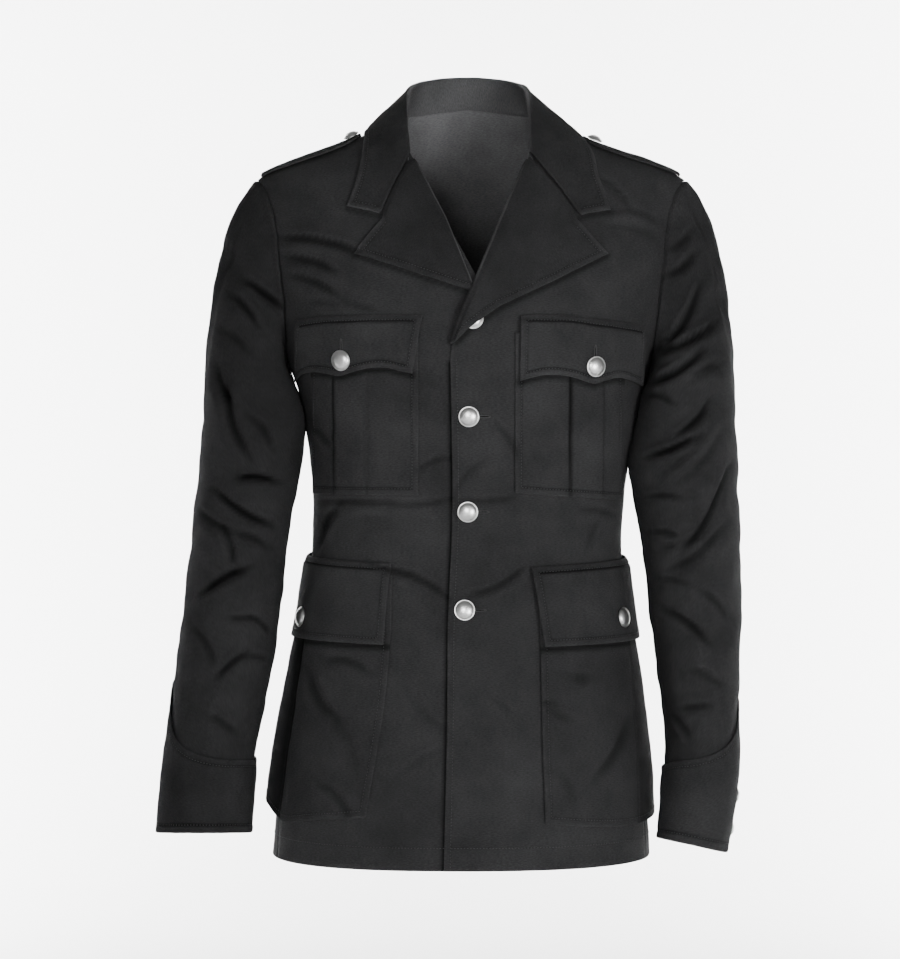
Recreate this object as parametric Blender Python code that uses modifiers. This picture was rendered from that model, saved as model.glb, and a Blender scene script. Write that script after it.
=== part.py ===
"""Military uniform jacket, worn shape, hollow, each cut piece a cloth wall of its own.

Axes: +X to the wearer's left, -Y to the front, +Z up. The origin is midway between the two
points where the shoulder seams meet the collar. Tables and names are in millimetres.
"""
import bpy
import numpy as np
from mathutils import Vector

# Driving sizes
MM = 0.001
WALL = 2.0              # jacket cloth with its turned seam allowance
SEAM_GAP = 0.3
LAYER_GAP = 0.8         # between a panel and a piece that lies on it
SHAPE = 2.4             # exponent of the body's ring, 2 is an ellipse
SHOULDER_TIP_Z = -63.0
UNDERARM_Z = -245.0
HEM_Z = -733.0
UNDERLAP = 2.9          # how far the lower front is sunk where the upper one covers it
SEAM_TURN = 0.06        # degrees left at either side of a side seam and an armhole
POCKET_WALL = 1.6       # one layer of the cloth with its turned edge
RING = 18               # points round an armhole, a sleeve and a cuff
HALF_RING = RING // 2
BUTTON_R = 10.0
CUFF_BUTTON_R = 8.0
BUTTON_H = 4.6

CLOTH = (0.045, 0.045, 0.047, 1.0)
METAL = (0.72, 0.72, 0.70, 1.0)

# Level rings of the jacket's body, from the hem up
BODY = np.array([
    # z, half width, front depth, back depth, centre x
    (-760, 191, 133, 121, -7.5),
    (-733, 188, 130, 118, -7.0),
    (-640, 181, 122, 114, -5.0),
    (-560, 171, 112, 104, -3.5),
    (-480, 159, 103, 93, -2.0),
    (-420, 154, 100, 88, -1.0),
    (-360, 157, 104, 92, 1.2),
    (-300, 167, 112, 102, 3.0),
    (-272, 173, 115, 106, 3.0),
    (-245, 181, 117, 109, 2.0),
    (-180, 202, 111, 110, 3.0),
    (-120, 211, 97, 100, 3.0),
    (-80, 214, 82, 87, 3.0),
    (-63, 212, 74, 79, 3.0),
    (-49, 183, 66, 73, 2.0),
    (-40, 157, 60, 70, 1.5),
    (-27, 122, 52, 66, 1.0),
    (-15, 99, 44, 62, 0.5),
    (0, 72, 36, 58, 0.0),
    (8, 67, 33, 56, 0.0),
    (18, 63, 30, 54, 0.0),
])

# Neckline, from the end of the roll line round to the centre back
NECKLINE = np.array([
    # angle, z
    (42.6, -49), (49, -35), (60, -18), (74, -5), (90, 0), (120, 6), (150, 12), (180, 16),
])

# Armhole from the shoulder tip down to the underarm, angles of the wearer's left side
ARMHOLE_FRONT = np.array([
    # angle, z
    (90, -63), (83, -68), (78, -90), (75, -120), (73.5, -155), (73, -185), (75, -212),
    (80, -233), (90, -245),
])
ARMHOLE_BACK = np.array([
    # angle, z
    (90, -63), (98, -69), (105, -95), (108, -125), (109, -155), (108, -190), (104, -218),
    (98, -236), (90, -245),
])

# Side seam
SIDE_SEAM = np.array([
    # z, angle
    (-760, 75), (-733, 75), (-500, 81), (-350, 86), (-245, 90),
])

# Front edges and roll lines from the hem up to the neckline
EDGE_LEFT = np.array([
    # x, z
    (-24, -733), (-21, -591), (-20, -495), (-16, -401), (-17, -293), (-18, -245),
])
ROLL_LEFT = np.array([
    # x, z
    (-18, -245), (-16, -232), (9, -170), (33, -111), (58, -49),
])
EDGE_RIGHT = np.array([
    # x, z
    (16, -733), (18, -591), (18, -495), (20, -401), (19, -293), (18, -245),
])
ROLL_RIGHT = np.array([
    # x, z
    (18, -245), (18, -196), (9, -170), (-23, -110), (-54, -48),
])

# Soft troughs pressed into the solid, on the front (side 1) or on the back (side -1)
BODY_FOLDS = np.array([
    # x0, z0, x1, z1, width, depth, side
    (-140, -397, -30, -398, 12, 3.0, 1),
    (-80, -452, -28, -478, 12, 2.2, 1),
    (4, -476, 60, -450, 12, 2.0, 1),
    (60, -406, 135, -404, 12, 2.4, 1),
    (-165, -110, -95, -104, 13, 2.2, 1),
    (-120, -398, 40, -406, 16, 4.0, -1),
    (-40, -446, 125, -436, 15, 3.4, -1),
    (-105, -130, -122, -250, 18, 2.6, -1),
    (92, -120, 116, -235, 18, 2.4, -1),
])

# Sleeves below the underarm: the outline seen from the front, middle and half depth in y
SLEEVE_RIGHT = np.array([
    # z, outer x, inner x, y middle, half depth, rise to the front, drop of the outer side
    (-302, -261, -165.5, -32, 61, 0.00, 0),
    (-350, -266, -169, -27, 61, 0.00, 0),
    (-402, -272, -176, -22, 59, 0.02, 0),
    (-446, -277, -181, -22, 57, 0.04, 0),
    (-500, -283, -187, -25, 54, 0.06, 0),
    (-552, -289, -194, -30, 51, 0.08, 0),
    (-598, -293, -204, -34, 48, 0.10, 0),
    (-638, -298, -210, -38, 46, 0.12, 0),
    (-707, -304, -215, -44, 45, 0.13, 0),
])
SLEEVE_LEFT = np.array([
    # z, outer x, inner x, y middle, half depth, rise to the front, drop of the outer side
    (-302, 263, 170, -32, 61, 0.00, 0),
    (-350, 266, 167, -29, 60, 0.00, 0),
    (-402, 268, 171, -26, 59, 0.03, 0),
    (-446, 269, 174, -28, 57, 0.05, 0),
    (-500, 269, 180, -33, 54, 0.08, 0),
    (-552, 266, 186, -40, 50, 0.11, 0),
    (-604, 263, 192, -48, 47, 0.13, 1),
    (-650, 261, 191, -56, 45, 0.14, 3),
    (-716, 249, 186, -66, 43, 0.14, 7),
])
SLEEVE_FOLDS = {
    "r": np.array([
        # x0, z0, x1, z1, width, depth, side
        (-232, -150, -190, -186, 15, 4.0, 1),
        (-236, -354, -184, -364, 15, 6.5, 1),
        (-270, -468, -212, -446, 15, 5.0, 1),
        (-250, -556, -216, -532, 14, 3.5, 1),
        (-240, -380, -190, -392, 16, 4.0, -1),
        (-270, -480, -215, -470, 16, 3.5, -1),
    ]),
    "l": np.array([
        # x0, z0, x1, z1, width, depth, side
        (188, -222, 248, -186, 15, 5.5, 1),
        (180, -324, 240, -288, 15, 6.5, 1),
        (204, -438, 258, -374, 15, 5.0, 1),
        (196, -490, 238, -514, 14, 4.0, 1),
        (190, -370, 245, -385, 16, 4.0, -1),
        (205, -470, 250, -462, 16, 3.5, -1),
    ]),
}

# How far the sleeve's inner side leans on the body below the underarm
SLEEVE_LEAN = {
    "r": np.array([
        # z, distance
        (-400, 0), (-370, 3), (-345, 4.5), (-320, 5.5), (-300, 5), (-285, 4.5), (-268, 3), (-250, 0),
    ]),
    "l": np.array([
        # z, distance
        (-430, 0), (-405, 3.5), (-385, 5), (-368, 7.5), (-354, 9.5), (-340, 9), (-325, 6.5),
        (-300, 5.5), (-278, 4), (-255, 0),
    ]),
}

# Cuff: height of its upper edge above the sleeve's end, by angle from the outer side over
# the front to the inner side and on over the back
CUFF_TOP = {
    "r": np.array([
        # angle, height
        (0, 146), (20, 112), (40, 93), (60, 82), (90, 72), (140, 69), (180, 70), (250, 92),
        (300, 140), (340, 153), (360, 146),
    ]),
    "l": np.array([
        # angle, height
        (0, 138), (20, 115), (40, 102), (60, 92), (90, 82), (140, 76), (180, 72), (250, 92),
        (300, 136), (340, 147), (360, 138),
    ]),
}

# Collar, seen from the front end of its fold round to the centre back
FOLD_LINE = np.array([
    # x, y, z, of the wearer's left half
    (58, -67, -44), (60, -52, -20), (60, -28, 6), (59, 0, 27), (52, 28, 37), (38, 46, 43.5),
    (20, 57, 47.5), (0, 61, 49),
])
COLLAR_EDGE = {
    "r": np.array([
        # angle, z
        (-56.5, -98), (-58, -64), (-68, -33), (-90, -13), (-120, -8), (-150, -2), (-180, 2),
    ]),
    "l": np.array([
        # angle, z
        (60.5, -102), (62, -64), (73, -33), (90, -16), (120, -8), (150, -2), (180, 2),
    ]),
}
COLLAR_FRONT = {
    "r": np.array([
        # x, z: along the gorge, then along the free edge to the tip
        (-56, -46), (-71, -76), (-85, -106), (-102, -102), (-118, -98),
    ]),
    "l": np.array([
        # x, z: along the gorge, then along the free edge to the tip
        (60, -47), (84, -76), (107, -108), (122, -105), (137, -102),
    ]),
}

# Lapels: the edge from the roll line out to the tip, and from the tip back to the break
LAPEL_TOP = {
    "r": np.array([
        # x, z
        (-54, -50), (-69, -80), (-83, -111), (-97, -128), (-110, -145),
    ]),
    "l": np.array([
        # x, z
        (58, -51), (82, -82), (105, -113), (120, -130), (134, -145),
    ]),
}
LAPEL_LOW = {
    "r": np.array([
        # x, z
        (-110, -145), (-80, -155), (-52, -164), (-24, -173), (0, -181.5),
    ]),
    "l": np.array([
        # x, z
        (134, -145), (78, -174), (30, -197), (0, -219), (-11, -230),
    ]),
}
LAPEL_ROLL = {
    "r": np.array([
        # x, z
        (4, -179), (-23, -110), (-54, -50),
    ]),
    "l": np.array([
        # x, z
        (-15, -232), (9, -170), (33, -111), (58, -51),
    ]),
}

# Pockets
BREAST_POCKET = {
    "r": dict(top=-222, outer=(-152, -376), inner=(-48, -377), pleat=(-129, -97)),
    "l": dict(top=-222, outer=(150, -382), inner=(44, -375), pleat=(96, 129)),
}
BREAST_FLAP = {
    "r": np.array([
        # x and z of the upper edge, x and z of the shaped lower edge
        (-165, -207, -166, -265), (-152, -206, -158, -258.5), (-139, -205, -147, -257),
        (-126, -205, -134, -259), (-113, -205, -121, -261.5), (-99, -205, -108, -258),
        (-84, -205, -93, -255), (-70, -205, -78, -255), (-57, -205, -66, -258),
        (-44, -206, -53, -261),
    ]),
    "l": np.array([
        # x and z of the upper edge, x and z of the shaped lower edge
        (49, -206, 48, -268), (60, -205, 58, -265), (75, -205, 72, -262), (88, -205, 86, -262),
        (103, -206, 100, -264.5), (119, -208, 117, -269.5), (132, -209, 129, -266),
        (145, -210, 141, -263), (157, -211, 153, -265), (170, -213, 166, -270),
    ]),
}
LOWER_POCKET_WIDTH = 205.0
LOWER_PLEAT = 106.0
LOWER_REAR = {"r": 6.0, "l": 1.5}   # how far the half behind the crease stands out at the bottom
LOWER_POCKET = {
    "r": dict(
        # z, x of the edge nearer the front closure
        edge=np.array([(-700, -99), (-682, -97), (-646, -91), (-591, -82), (-524, -75), (-440, -73)]),
        # distance from that edge, z of the bottom
        bottom=np.array([(0, -683), (50, -689), (106, -693), (130, -682), (205, -677)]),
        top=-452, flap_edge=(-74, -80), flap_top=(-443, -432), flap_low=(-521, -516), flap_width=212),
    "l": dict(
        edge=np.array([(-700, 72), (-689, 72), (-628, 70), (-576, 69), (-516, 68), (-440, 66)]),
        bottom=np.array([(0, -689), (50, -694), (106, -696), (130, -694), (205, -690)]),
        top=-454, flap_edge=(60, 71), flap_top=(-446, -435), flap_low=(-523, -518), flap_width=212),
}

# Buttons
FRONT_BUTTONS = ((4, -209), (0, -302), (-1, -393), (-4, -487))
BREAST_BUTTON = {"r": (-119, -247), "l": (118, -253)}
LOWER_BUTTON = {"r": (-156, -499), "l": (143, -498)}
CUFF_BUTTON_HEIGHTS = (20, 50)
CUFF_BUTTON_ANGLE = {"r": 322, "l": 346}

# Epaulettes: along the shoulder from the sleeve to the collar
EPAULETTE = {
    "r": np.array([
        # x, middle y, half width
        (-203, -4, 22), (-184, -8, 24), (-160, -11, 25), (-136, -11, 24), (-119, -10, 21),
        (-111, -9, 15), (-106, -7, 8),
    ]),
    "l": np.array([
        # x, middle y, half width
        (208, -4, 22), (189, -8, 24), (166, -11, 25), (143, -11, 24), (127, -10, 21),
        (118, -9, 15), (113, -8, 8),
    ]),
}
EPAULETTE_BUTTON = {"r": (-114, -14), "l": (124, -14)}
SHOULDER_BUTTON_TILT = 0.16     # extra lean to the front, where the strap curls down


def smooth_table(where, keys, values):
    """Cubic curve through the table's rows, with the slope at each row from its neighbours."""
    slopes = np.gradient(values, keys)
    cell = np.clip(np.searchsorted(keys, where) - 1, 0, len(keys) - 2)
    width = keys[cell + 1] - keys[cell]
    t = np.clip((where - keys[cell]) / width, 0, 1)
    return ((1 + 2 * t) * (1 - t) ** 2 * values[cell] + t * (1 - t) ** 2 * width * slopes[cell]
            + t * t * (3 - 2 * t) * values[cell + 1] + t * t * (t - 1) * width * slopes[cell + 1])


def along(points, shares):
    """Points at shares of the length of a line of short straights."""
    steps = np.linalg.norm(np.diff(points, axis=0), axis=1)
    reach = np.concatenate([[0], np.cumsum(steps)]) / steps.sum()
    columns = [np.interp(shares, reach, points[:, k]) for k in range(points.shape[1])]
    return np.stack(columns, axis=-1)


def ring_sizes(z):
    return [smooth_table(z, BODY[:, 0], BODY[:, k]) for k in range(1, 5)]


def body_form(angle, z):
    """Level ring at z: a superellipse with its own front and back depth, angle 0 in front."""
    angle, z = np.broadcast_arrays(np.asarray(angle, float), np.asarray(z, float))
    half, front, back, centre = ring_sizes(z)
    turn = np.radians(angle)
    depth = np.where(np.cos(turn) > 0, front, back)
    across = np.abs(np.sin(turn) / half) ** SHAPE
    forward = np.abs(np.cos(turn) / depth) ** SHAPE
    radius = (across + forward) ** (-1 / SHAPE)
    return np.stack([centre + radius * np.sin(turn), -radius * np.cos(turn), z], axis=-1)


def press(points, normals, folds):
    """Pushes points in along straight troughs laid out in the front view, each fading out."""
    depth = np.zeros(points.shape[:-1])
    for x0, z0, x1, z1, width, amount, side in folds:
        start = np.array([x0, z0])
        run = np.array([x1, z1]) - start
        flat = points[..., [0, 2]] - start
        share = np.clip((flat @ run) / (run @ run), 0, 1)
        away = np.linalg.norm(flat - share[..., None] * run, axis=-1)
        facing = np.clip(-side * normals[..., 1] * 2, 0, 1)
        depth += amount * np.exp(-(away / width) ** 2) * facing
    return points - depth[..., None] * normals


def body_point(angle, z, out=0.0):
    """Point on the pressed body form, moved out along its normal."""
    step_angle, step_z = 1.0, 1.5
    here = body_form(angle, z)
    round_it = body_form(np.add(angle, step_angle), z) - body_form(np.subtract(angle, step_angle), z)
    up_it = body_form(angle, np.add(z, step_z)) - body_form(angle, np.subtract(z, step_z))
    normal = np.cross(round_it, up_it)
    normal /= np.linalg.norm(normal, axis=-1, keepdims=True)
    return press(here, normal, BODY_FOLDS) + np.asarray(out)[..., None] * normal


def angle_at(x, z):
    """Ring angle of the front point that is seen at x."""
    half, front, _, centre = ring_sizes(np.asarray(z, float))
    share = np.clip(np.abs(x - centre) / half, 0, 1)
    forward = front * (1 - share ** SHAPE) ** (1 / SHAPE)
    return np.degrees(np.arctan2(x - centre, forward))


def angle_after(start, z, distance):
    """Ring angle at a distance round the ring, away from the front centre line."""
    way = np.sign(start)
    angles = start + way * np.linspace(0, 150, 301)
    line = body_form(angles, z)
    reach = np.concatenate([[0], np.cumsum(np.linalg.norm(np.diff(line, axis=0), axis=1))])
    return np.interp(distance, reach, angles)


def patch_grid(bottom, top, left, right):
    """Four-sided patch between edge lines, the shares blended both ways."""
    rows, columns = len(left), len(bottom)
    v = np.linspace(0, 1, rows)[:, None, None]
    u = np.linspace(0, 1, columns)[None, :, None]
    corners = ((1 - u) * (1 - v) * bottom[0] + u * (1 - v) * bottom[-1]
               + (1 - u) * v * top[0] + u * v * top[-1])
    return ((1 - v) * bottom[None] + v * top[None] + (1 - u) * left[:, None]
            + u * right[:, None] - corners)


def collection(name):
    made = bpy.data.collections.new(name)
    bpy.context.scene.collection.children.link(made)
    return made


def material(name, colour, roughness, metallic):
    made = bpy.data.materials.new(name)
    made.use_nodes = True
    shader = made.node_tree.nodes["Principled BSDF"]
    shader.inputs["Base Color"].default_value = colour
    shader.inputs["Roughness"].default_value = roughness
    shader.inputs["Metallic"].default_value = metallic
    return made


def volume(vertices, faces):
    """Six times the volume that the four-sided faces enclose, below nought when inside out."""
    a, b, c, d = (vertices[faces[:, k]] for k in range(4))
    return np.sum(np.cross(a, b) * c) + np.sum(np.cross(a, c) * d)


def cloth(name, outer, inner, tube=False):
    """Closed wall between an outer and an inner grid of points, open-ended when it is a tube."""
    rows, columns = outer.shape[:2]
    vertices = np.concatenate([outer.reshape(-1, 3), inner.reshape(-1, 3)]) * MM
    number = np.arange(rows * columns).reshape(rows, columns)
    if tube:
        number = np.concatenate([number, number[:, :1]], axis=1)
    inside = number + rows * columns

    def quads(grid):
        return np.stack([grid[:-1, :-1], grid[:-1, 1:], grid[1:, 1:], grid[1:, :-1]], -1).reshape(-1, 4)

    def rim(first, second):
        return np.stack([first[1:], first[:-1], second[:-1], second[1:]], axis=-1)

    faces = [quads(number), quads(inside)[:, ::-1]]
    faces += [rim(number[0], inside[0]), rim(inside[-1], number[-1])]
    if not tube:
        faces += [rim(inside[:, 0], number[:, 0]), rim(number[:, -1], inside[:, -1])]
    faces = np.concatenate(faces)
    if volume(vertices, faces) < 0:
        faces = faces[:, ::-1]
    mesh = bpy.data.meshes.new(name)
    mesh.from_pydata(vertices.tolist(), [], faces.tolist())
    mesh.shade_smooth()
    mesh.set_sharp_from_angle(angle=np.radians(40))
    made = bpy.data.objects.new(name, mesh)
    made.data.materials.append(material(name + "_cloth", CLOTH, 0.85, 0.0))
    JACKET.objects.link(made)
    return made


def layer(name, angles, z, lift, wall=WALL):
    """Piece lying on the body: lift is its outer face above the form."""
    return cloth(name, body_point(angles, z, lift), body_point(angles, z, lift - wall))


def edge_angles(points):
    return np.stack([angle_at(points[:, 0], points[:, 1]), points[:, 1]], axis=-1)


def armhole(table, side, rows):
    line = along(table * (1.0, 0.4), np.linspace(1, 0, rows)) * (1.0, 2.5)
    return line * (side, 1.0)


def underlap(x):
    """How deep the wearer's right front lies under the left one, nought clear of the overlap."""
    return UNDERLAP * np.clip((x + 64) / 34, 0, 1)


def front_panel(name, side, edge, roll):
    """Front: level rows up to the underarm, then a patch bounded by roll line and armhole."""
    columns, low_rows, high_rows = 12, 17, HALF_RING + 1
    share = np.linspace(0, 1, columns)
    low_z = np.linspace(HEM_Z, UNDERARM_Z, low_rows)
    start = angle_at(np.interp(low_z, edge[:, 1], edge[:, 0]), low_z)
    seam = side * (np.interp(low_z, SIDE_SEAM[:, 0], SIDE_SEAM[:, 1]) - SEAM_TURN)
    angles = start[:, None] + (seam - start)[:, None] * share
    low = np.stack([angles, np.broadcast_to(low_z[:, None], angles.shape)], axis=-1)
    neck = NECKLINE[(NECKLINE[:, 0] > 43) & (NECKLINE[:, 0] <= 90)] * (side, 1.0)
    inner_line = np.concatenate([edge_angles(roll), neck])
    inner = along(inner_line * (1.6, 1.0), np.linspace(0, 1, high_rows)) / (1.6, 1.0)
    outer = armhole(ARMHOLE_FRONT, side, high_rows)
    outer[:, 0] -= side * SEAM_TURN
    inner[-1, 0] = side * 89.9
    outer[-1, 0] = side * 89.9
    top = inner[-1] + (outer[-1] - inner[-1]) * share[:, None]
    high = patch_grid(low[-1], top, inner, outer)
    grid = np.concatenate([low, high[1:]])
    depth = underlap(body_form(grid[..., 0], grid[..., 1])[..., 0]) if side < 0 else 0.0
    return layer(name, grid[..., 0], grid[..., 1], -depth)


def back_panel():
    """Back in one piece: level rows, then a patch up to the shoulder seams and the neckline."""
    columns, low_rows, high_rows = 23, 14, HALF_RING + 1
    shoulder_columns = 6
    share = np.linspace(0, 1, columns)
    low_z = np.linspace(HEM_Z, UNDERARM_Z, low_rows)
    seam = np.interp(low_z, SIDE_SEAM[:, 0], SIDE_SEAM[:, 1]) + SEAM_TURN
    angles = seam[:, None] + (360 - 2 * seam)[:, None] * share
    low = np.stack([angles, np.broadcast_to(low_z[:, None], angles.shape)], axis=-1)
    left = armhole(ARMHOLE_BACK, 1, high_rows)
    left[:, 0] += SEAM_TURN
    left[-1, 0] = 90.1
    right = left * (-1, 1) + (360, 0)
    neck_angles = np.linspace(90.1, 269.9, columns - 2 * shoulder_columns)
    neck_z = smooth_table(np.minimum(neck_angles, 360 - neck_angles), NECKLINE[:, 0], NECKLINE[:, 1])
    seam_z = np.linspace(SHOULDER_TIP_Z, 0, shoulder_columns + 1)[:-1]
    top_angles = np.concatenate([np.full(shoulder_columns, 90.1), neck_angles,
                                 np.full(shoulder_columns, 269.9)])
    top = np.stack([top_angles, np.concatenate([seam_z, neck_z, seam_z[::-1]])], axis=-1)
    high = patch_grid(low[-1], top, left, right)
    grid = np.concatenate([low, high[1:]])
    return layer("back", grid[..., 0], grid[..., 1], 0.0)


def armhole_ring(side):
    """Armhole from the shoulder tip over the front to the underarm and back up behind."""
    front = armhole(ARMHOLE_FRONT, side, HALF_RING + 1)[::-1]
    back = armhole(ARMHOLE_BACK, side, HALF_RING + 1)
    return np.concatenate([front, back[1:-1]])


def grid_normals(points, centres):
    """Normals of a tube's grid, from its neighbours round and along, pointing away from centres."""
    round_it = np.roll(points, -1, axis=1) - np.roll(points, 1, axis=1)
    down_it = np.gradient(points, axis=0)
    normal = np.cross(round_it, down_it)
    normal /= np.linalg.norm(normal, axis=-1, keepdims=True)
    away = points - centres
    flip = np.sign(np.mean(np.sum(normal * away, axis=-1)))
    return normal * flip


def off_body(points):
    """How far points lie outside the body's ring at their own height, towards its middle."""
    x, y, z = points[..., 0], points[..., 1], points[..., 2]
    half, front, back, centre = [smooth_table(z, BODY[:, 0], BODY[:, k]) for k in range(1, 5)]
    depth = np.where(y < 0, front, back)
    share = (np.abs((x - centre) / half) ** SHAPE + np.abs(y / depth) ** SHAPE) ** (1 / SHAPE)
    return np.hypot(x - centre, y) * (1 - 1 / share)


def level_ring(table, z, grow=0.0):
    """Ring of a sleeve at z, from its outer side over the front, tilted with the forearm."""
    turn = np.radians(np.arange(RING) * 360 / RING)
    outer, inner, middle_y, half_y, rise, drop = [
        smooth_table(z, -table[:, 0], table[:, k])[..., None] for k in range(1, 7)]
    middle_x = (outer + inner) / 2
    half_x = (outer - inner) / 2
    half_x = half_x + grow * np.sign(half_x)
    power = 2 / 2.15
    across = np.sign(np.cos(turn)) * np.abs(np.cos(turn)) ** power
    forward = np.sign(np.sin(turn)) * np.abs(np.sin(turn)) ** power
    y = middle_y - (half_y + grow) * forward
    x = middle_x + half_x * across + 0 * y
    return np.stack([x, y, -z[..., None] - rise * (y - middle_y) - drop * across], axis=-1)


def sleeve(letter, side, table):
    """Sleeve: curved lines from the armhole down to the first level ring, then level rings."""
    hole = armhole_ring(side)
    start = body_point(hole[:, 0], hole[:, 1])
    inside = body_point(hole[:, 0], hole[:, 1], -WALL)
    normal = (start - inside) / WALL
    tangent = np.roll(start, -1, axis=0) - np.roll(start, 1, axis=0)
    leave = np.cross(normal, tangent)
    leave /= np.linalg.norm(leave, axis=-1, keepdims=True)
    middle = start.mean(axis=0)
    leave *= np.sign(np.mean(np.sum(leave * (middle - start), axis=-1)))
    levels = -np.linspace(table[0, 0], table[-1, 0], 18)
    rings = level_ring(table, levels)
    reach = np.linalg.norm(rings[0] - start, axis=-1, keepdims=True)
    straight = (rings[0] - start) / reach
    under = (1 - np.cos(np.arange(RING) * 2 * np.pi / RING))[:, None] / 2
    away = 0.4 * leave + 0.6 * np.array([side * 0.88, 0, -0.47])
    lead = (1 - under) * away + under * (straight + (side * 0.4, 0, 0))
    down = np.array([0, 0, -1.0])
    first = start + leave * (SEAM_GAP + 0.35 * (1 - under))
    cap = []
    for t in (0.0, 0.07, 0.18, 0.34, 0.55, 0.78):
        cap.append((1 + 2 * t) * (1 - t) ** 2 * first + t * t * (3 - 2 * t) * rings[0]
                   + t * (1 - t) ** 2 * reach * lead * 0.62 + t * t * (t - 1) * reach * down * 1.0)
    points = np.concatenate([np.array(cap), rings])
    lean = np.interp(points[..., 2], SLEEVE_LEAN[letter][:, 0], SLEEVE_LEAN[letter][:, 1])
    inner_side = np.clip(-np.cos(np.arange(RING) * 2 * np.pi / RING), 0, 1)
    points[..., 0] -= side * np.minimum(lean * inner_side ** 2, np.clip(off_body(points) - 1.3, 0, 20))
    centres = points.mean(axis=1, keepdims=True)
    normals = grid_normals(points, centres)
    points = press(points, normals, SLEEVE_FOLDS[letter])
    points[0] = first
    normals = grid_normals(points, centres)
    normals[0] = normal
    cloth("sleeve_" + letter, points, points - WALL * normals, tube=True)


def cuff(letter, table):
    """Turned-back cuff round the sleeve's end, higher at its outer back."""
    end = -table[-1, 0]
    angles = np.arange(RING) * 360 / RING
    top = np.interp(angles, CUFF_TOP[letter][:, 0], CUFF_TOP[letter][:, 1])
    rows = []
    for share in np.linspace(1, 0, 6):
        levels = end - share * top
        ring = np.array([level_ring(table, np.array([z]), LAYER_GAP + WALL)[0][k]
                         for k, z in enumerate(levels)])
        rows.append(ring)
    points = np.array(rows)
    normals = grid_normals(points, points.mean(axis=1, keepdims=True))
    cloth("cuff_" + letter, points, points - WALL * normals, tube=True)
    return points


def bend(start, end, lift, shares):
    """Curve between two rows of points that swells along lift."""
    t = np.asarray(shares)[None, :, None]
    return start[:, None] * (1 - t) + end[:, None] * t + lift[:, None] * (4 * t * (1 - t))


def collar():
    """Stand and fall in one: up from the neckline, over the fold, out to the edge."""
    half = []
    for letter, side in (("r", -1), ("l", 1)):
        share = np.linspace(0, 1, 13)
        neck = along(NECKLINE, share) * (side, 1)
        bottom = body_point(neck[:, 0], neck[:, 1] + 0.2, 1.1)
        fold = along(FOLD_LINE * (side, 1, 1), share)
        out = body_point(neck[:, 0], neck[:, 1], 1.0) - body_point(neck[:, 0], neck[:, 1])
        edge_line = along(COLLAR_EDGE[letter] * (1.0, 0.8), share) / (1.0, 0.8)
        edge = body_point(edge_line[:, 0], edge_line[:, 1], 3.6)
        level_out = out * (1, 1, 0)
        level_out /= np.linalg.norm(level_out, axis=-1, keepdims=True)
        inner_fold = fold - level_out * 1.5
        outer_fold = fold + level_out * 4.5 + (0, 0, -2.0)
        rise = (fold - bottom) * 0.5
        rows = [bottom, bottom + rise * 0.9 - level_out * 0.6, inner_fold + (0, 0, -4.5)]
        rows += [inner_fold, fold + level_out * 1.5 + (0, 0, 1.6), outer_fold]
        fall = bend(outer_fold, edge, level_out * 2.2 + (0, 0, 1.2), (0.3, 0.62, 0.85, 1.0))
        rows += [fall[:, k] for k in range(4)]
        grid = np.array(rows).transpose(1, 0, 2)
        front = COLLAR_FRONT[letter]
        at = edge_angles(along(front, (0.0, 0.10, 0.35, 0.62, 0.8, 1.0)))
        ends = body_point(at[:, 0], at[:, 1], (6.0, 6.2, 5.2, 4.2, 3.8, 3.6))
        shift = np.clip(1 - np.arange(13) / 5, 0, 1)[:, None]
        for column, end in zip((4, 5, 6, 7, 8, 9), ends):
            grid[:, column] += shift ** 1.5 * (end - grid[0, column])
        half.append(grid)
    both = np.concatenate([half[0], half[1][::-1][1:]])
    round_it = np.gradient(both, axis=0)
    across = np.gradient(both, axis=1)
    normal = np.cross(round_it, across)
    normal /= np.linalg.norm(normal, axis=-1, keepdims=True)
    if normal[12, 4, 2] < 0:
        normal = -normal
    cloth("collar", both, both - normal * (WALL * 0.9))


def lapel(letter):
    """Turned-back lapel: softly rolled at the roll line, flat towards its tip."""
    rows, columns = 10, 7
    v = np.linspace(0, 1, rows)
    u = np.linspace(0, 1, columns)
    roll = edge_angles(along(LAPEL_ROLL[letter], v))
    low = edge_angles(along(LAPEL_LOW[letter][::-1], v))
    top = edge_angles(along(LAPEL_TOP[letter], u))
    bottom = roll[0] + (low[0] - roll[0]) * u[:, None]
    grid = patch_grid(bottom, top, roll, low)
    lift = np.interp(u, (0, 0.1, 0.3, 1), (3.1, 4.8, 5.2, 3.4))[None, :] + 0 * v[:, None]
    flat = body_form(grid[..., 0], grid[..., 1])
    if letter == "r":
        lift = lift - underlap(flat[..., 0])
    else:
        away = np.hypot(flat[..., 0] - FRONT_BUTTONS[0][0], flat[..., 2] - FRONT_BUTTONS[0][1])
        lift = lift + 4.4 * np.exp(-(away / 24) ** 2)
    layer("lapel_" + letter, grid[..., 0], grid[..., 1], lift)


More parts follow.
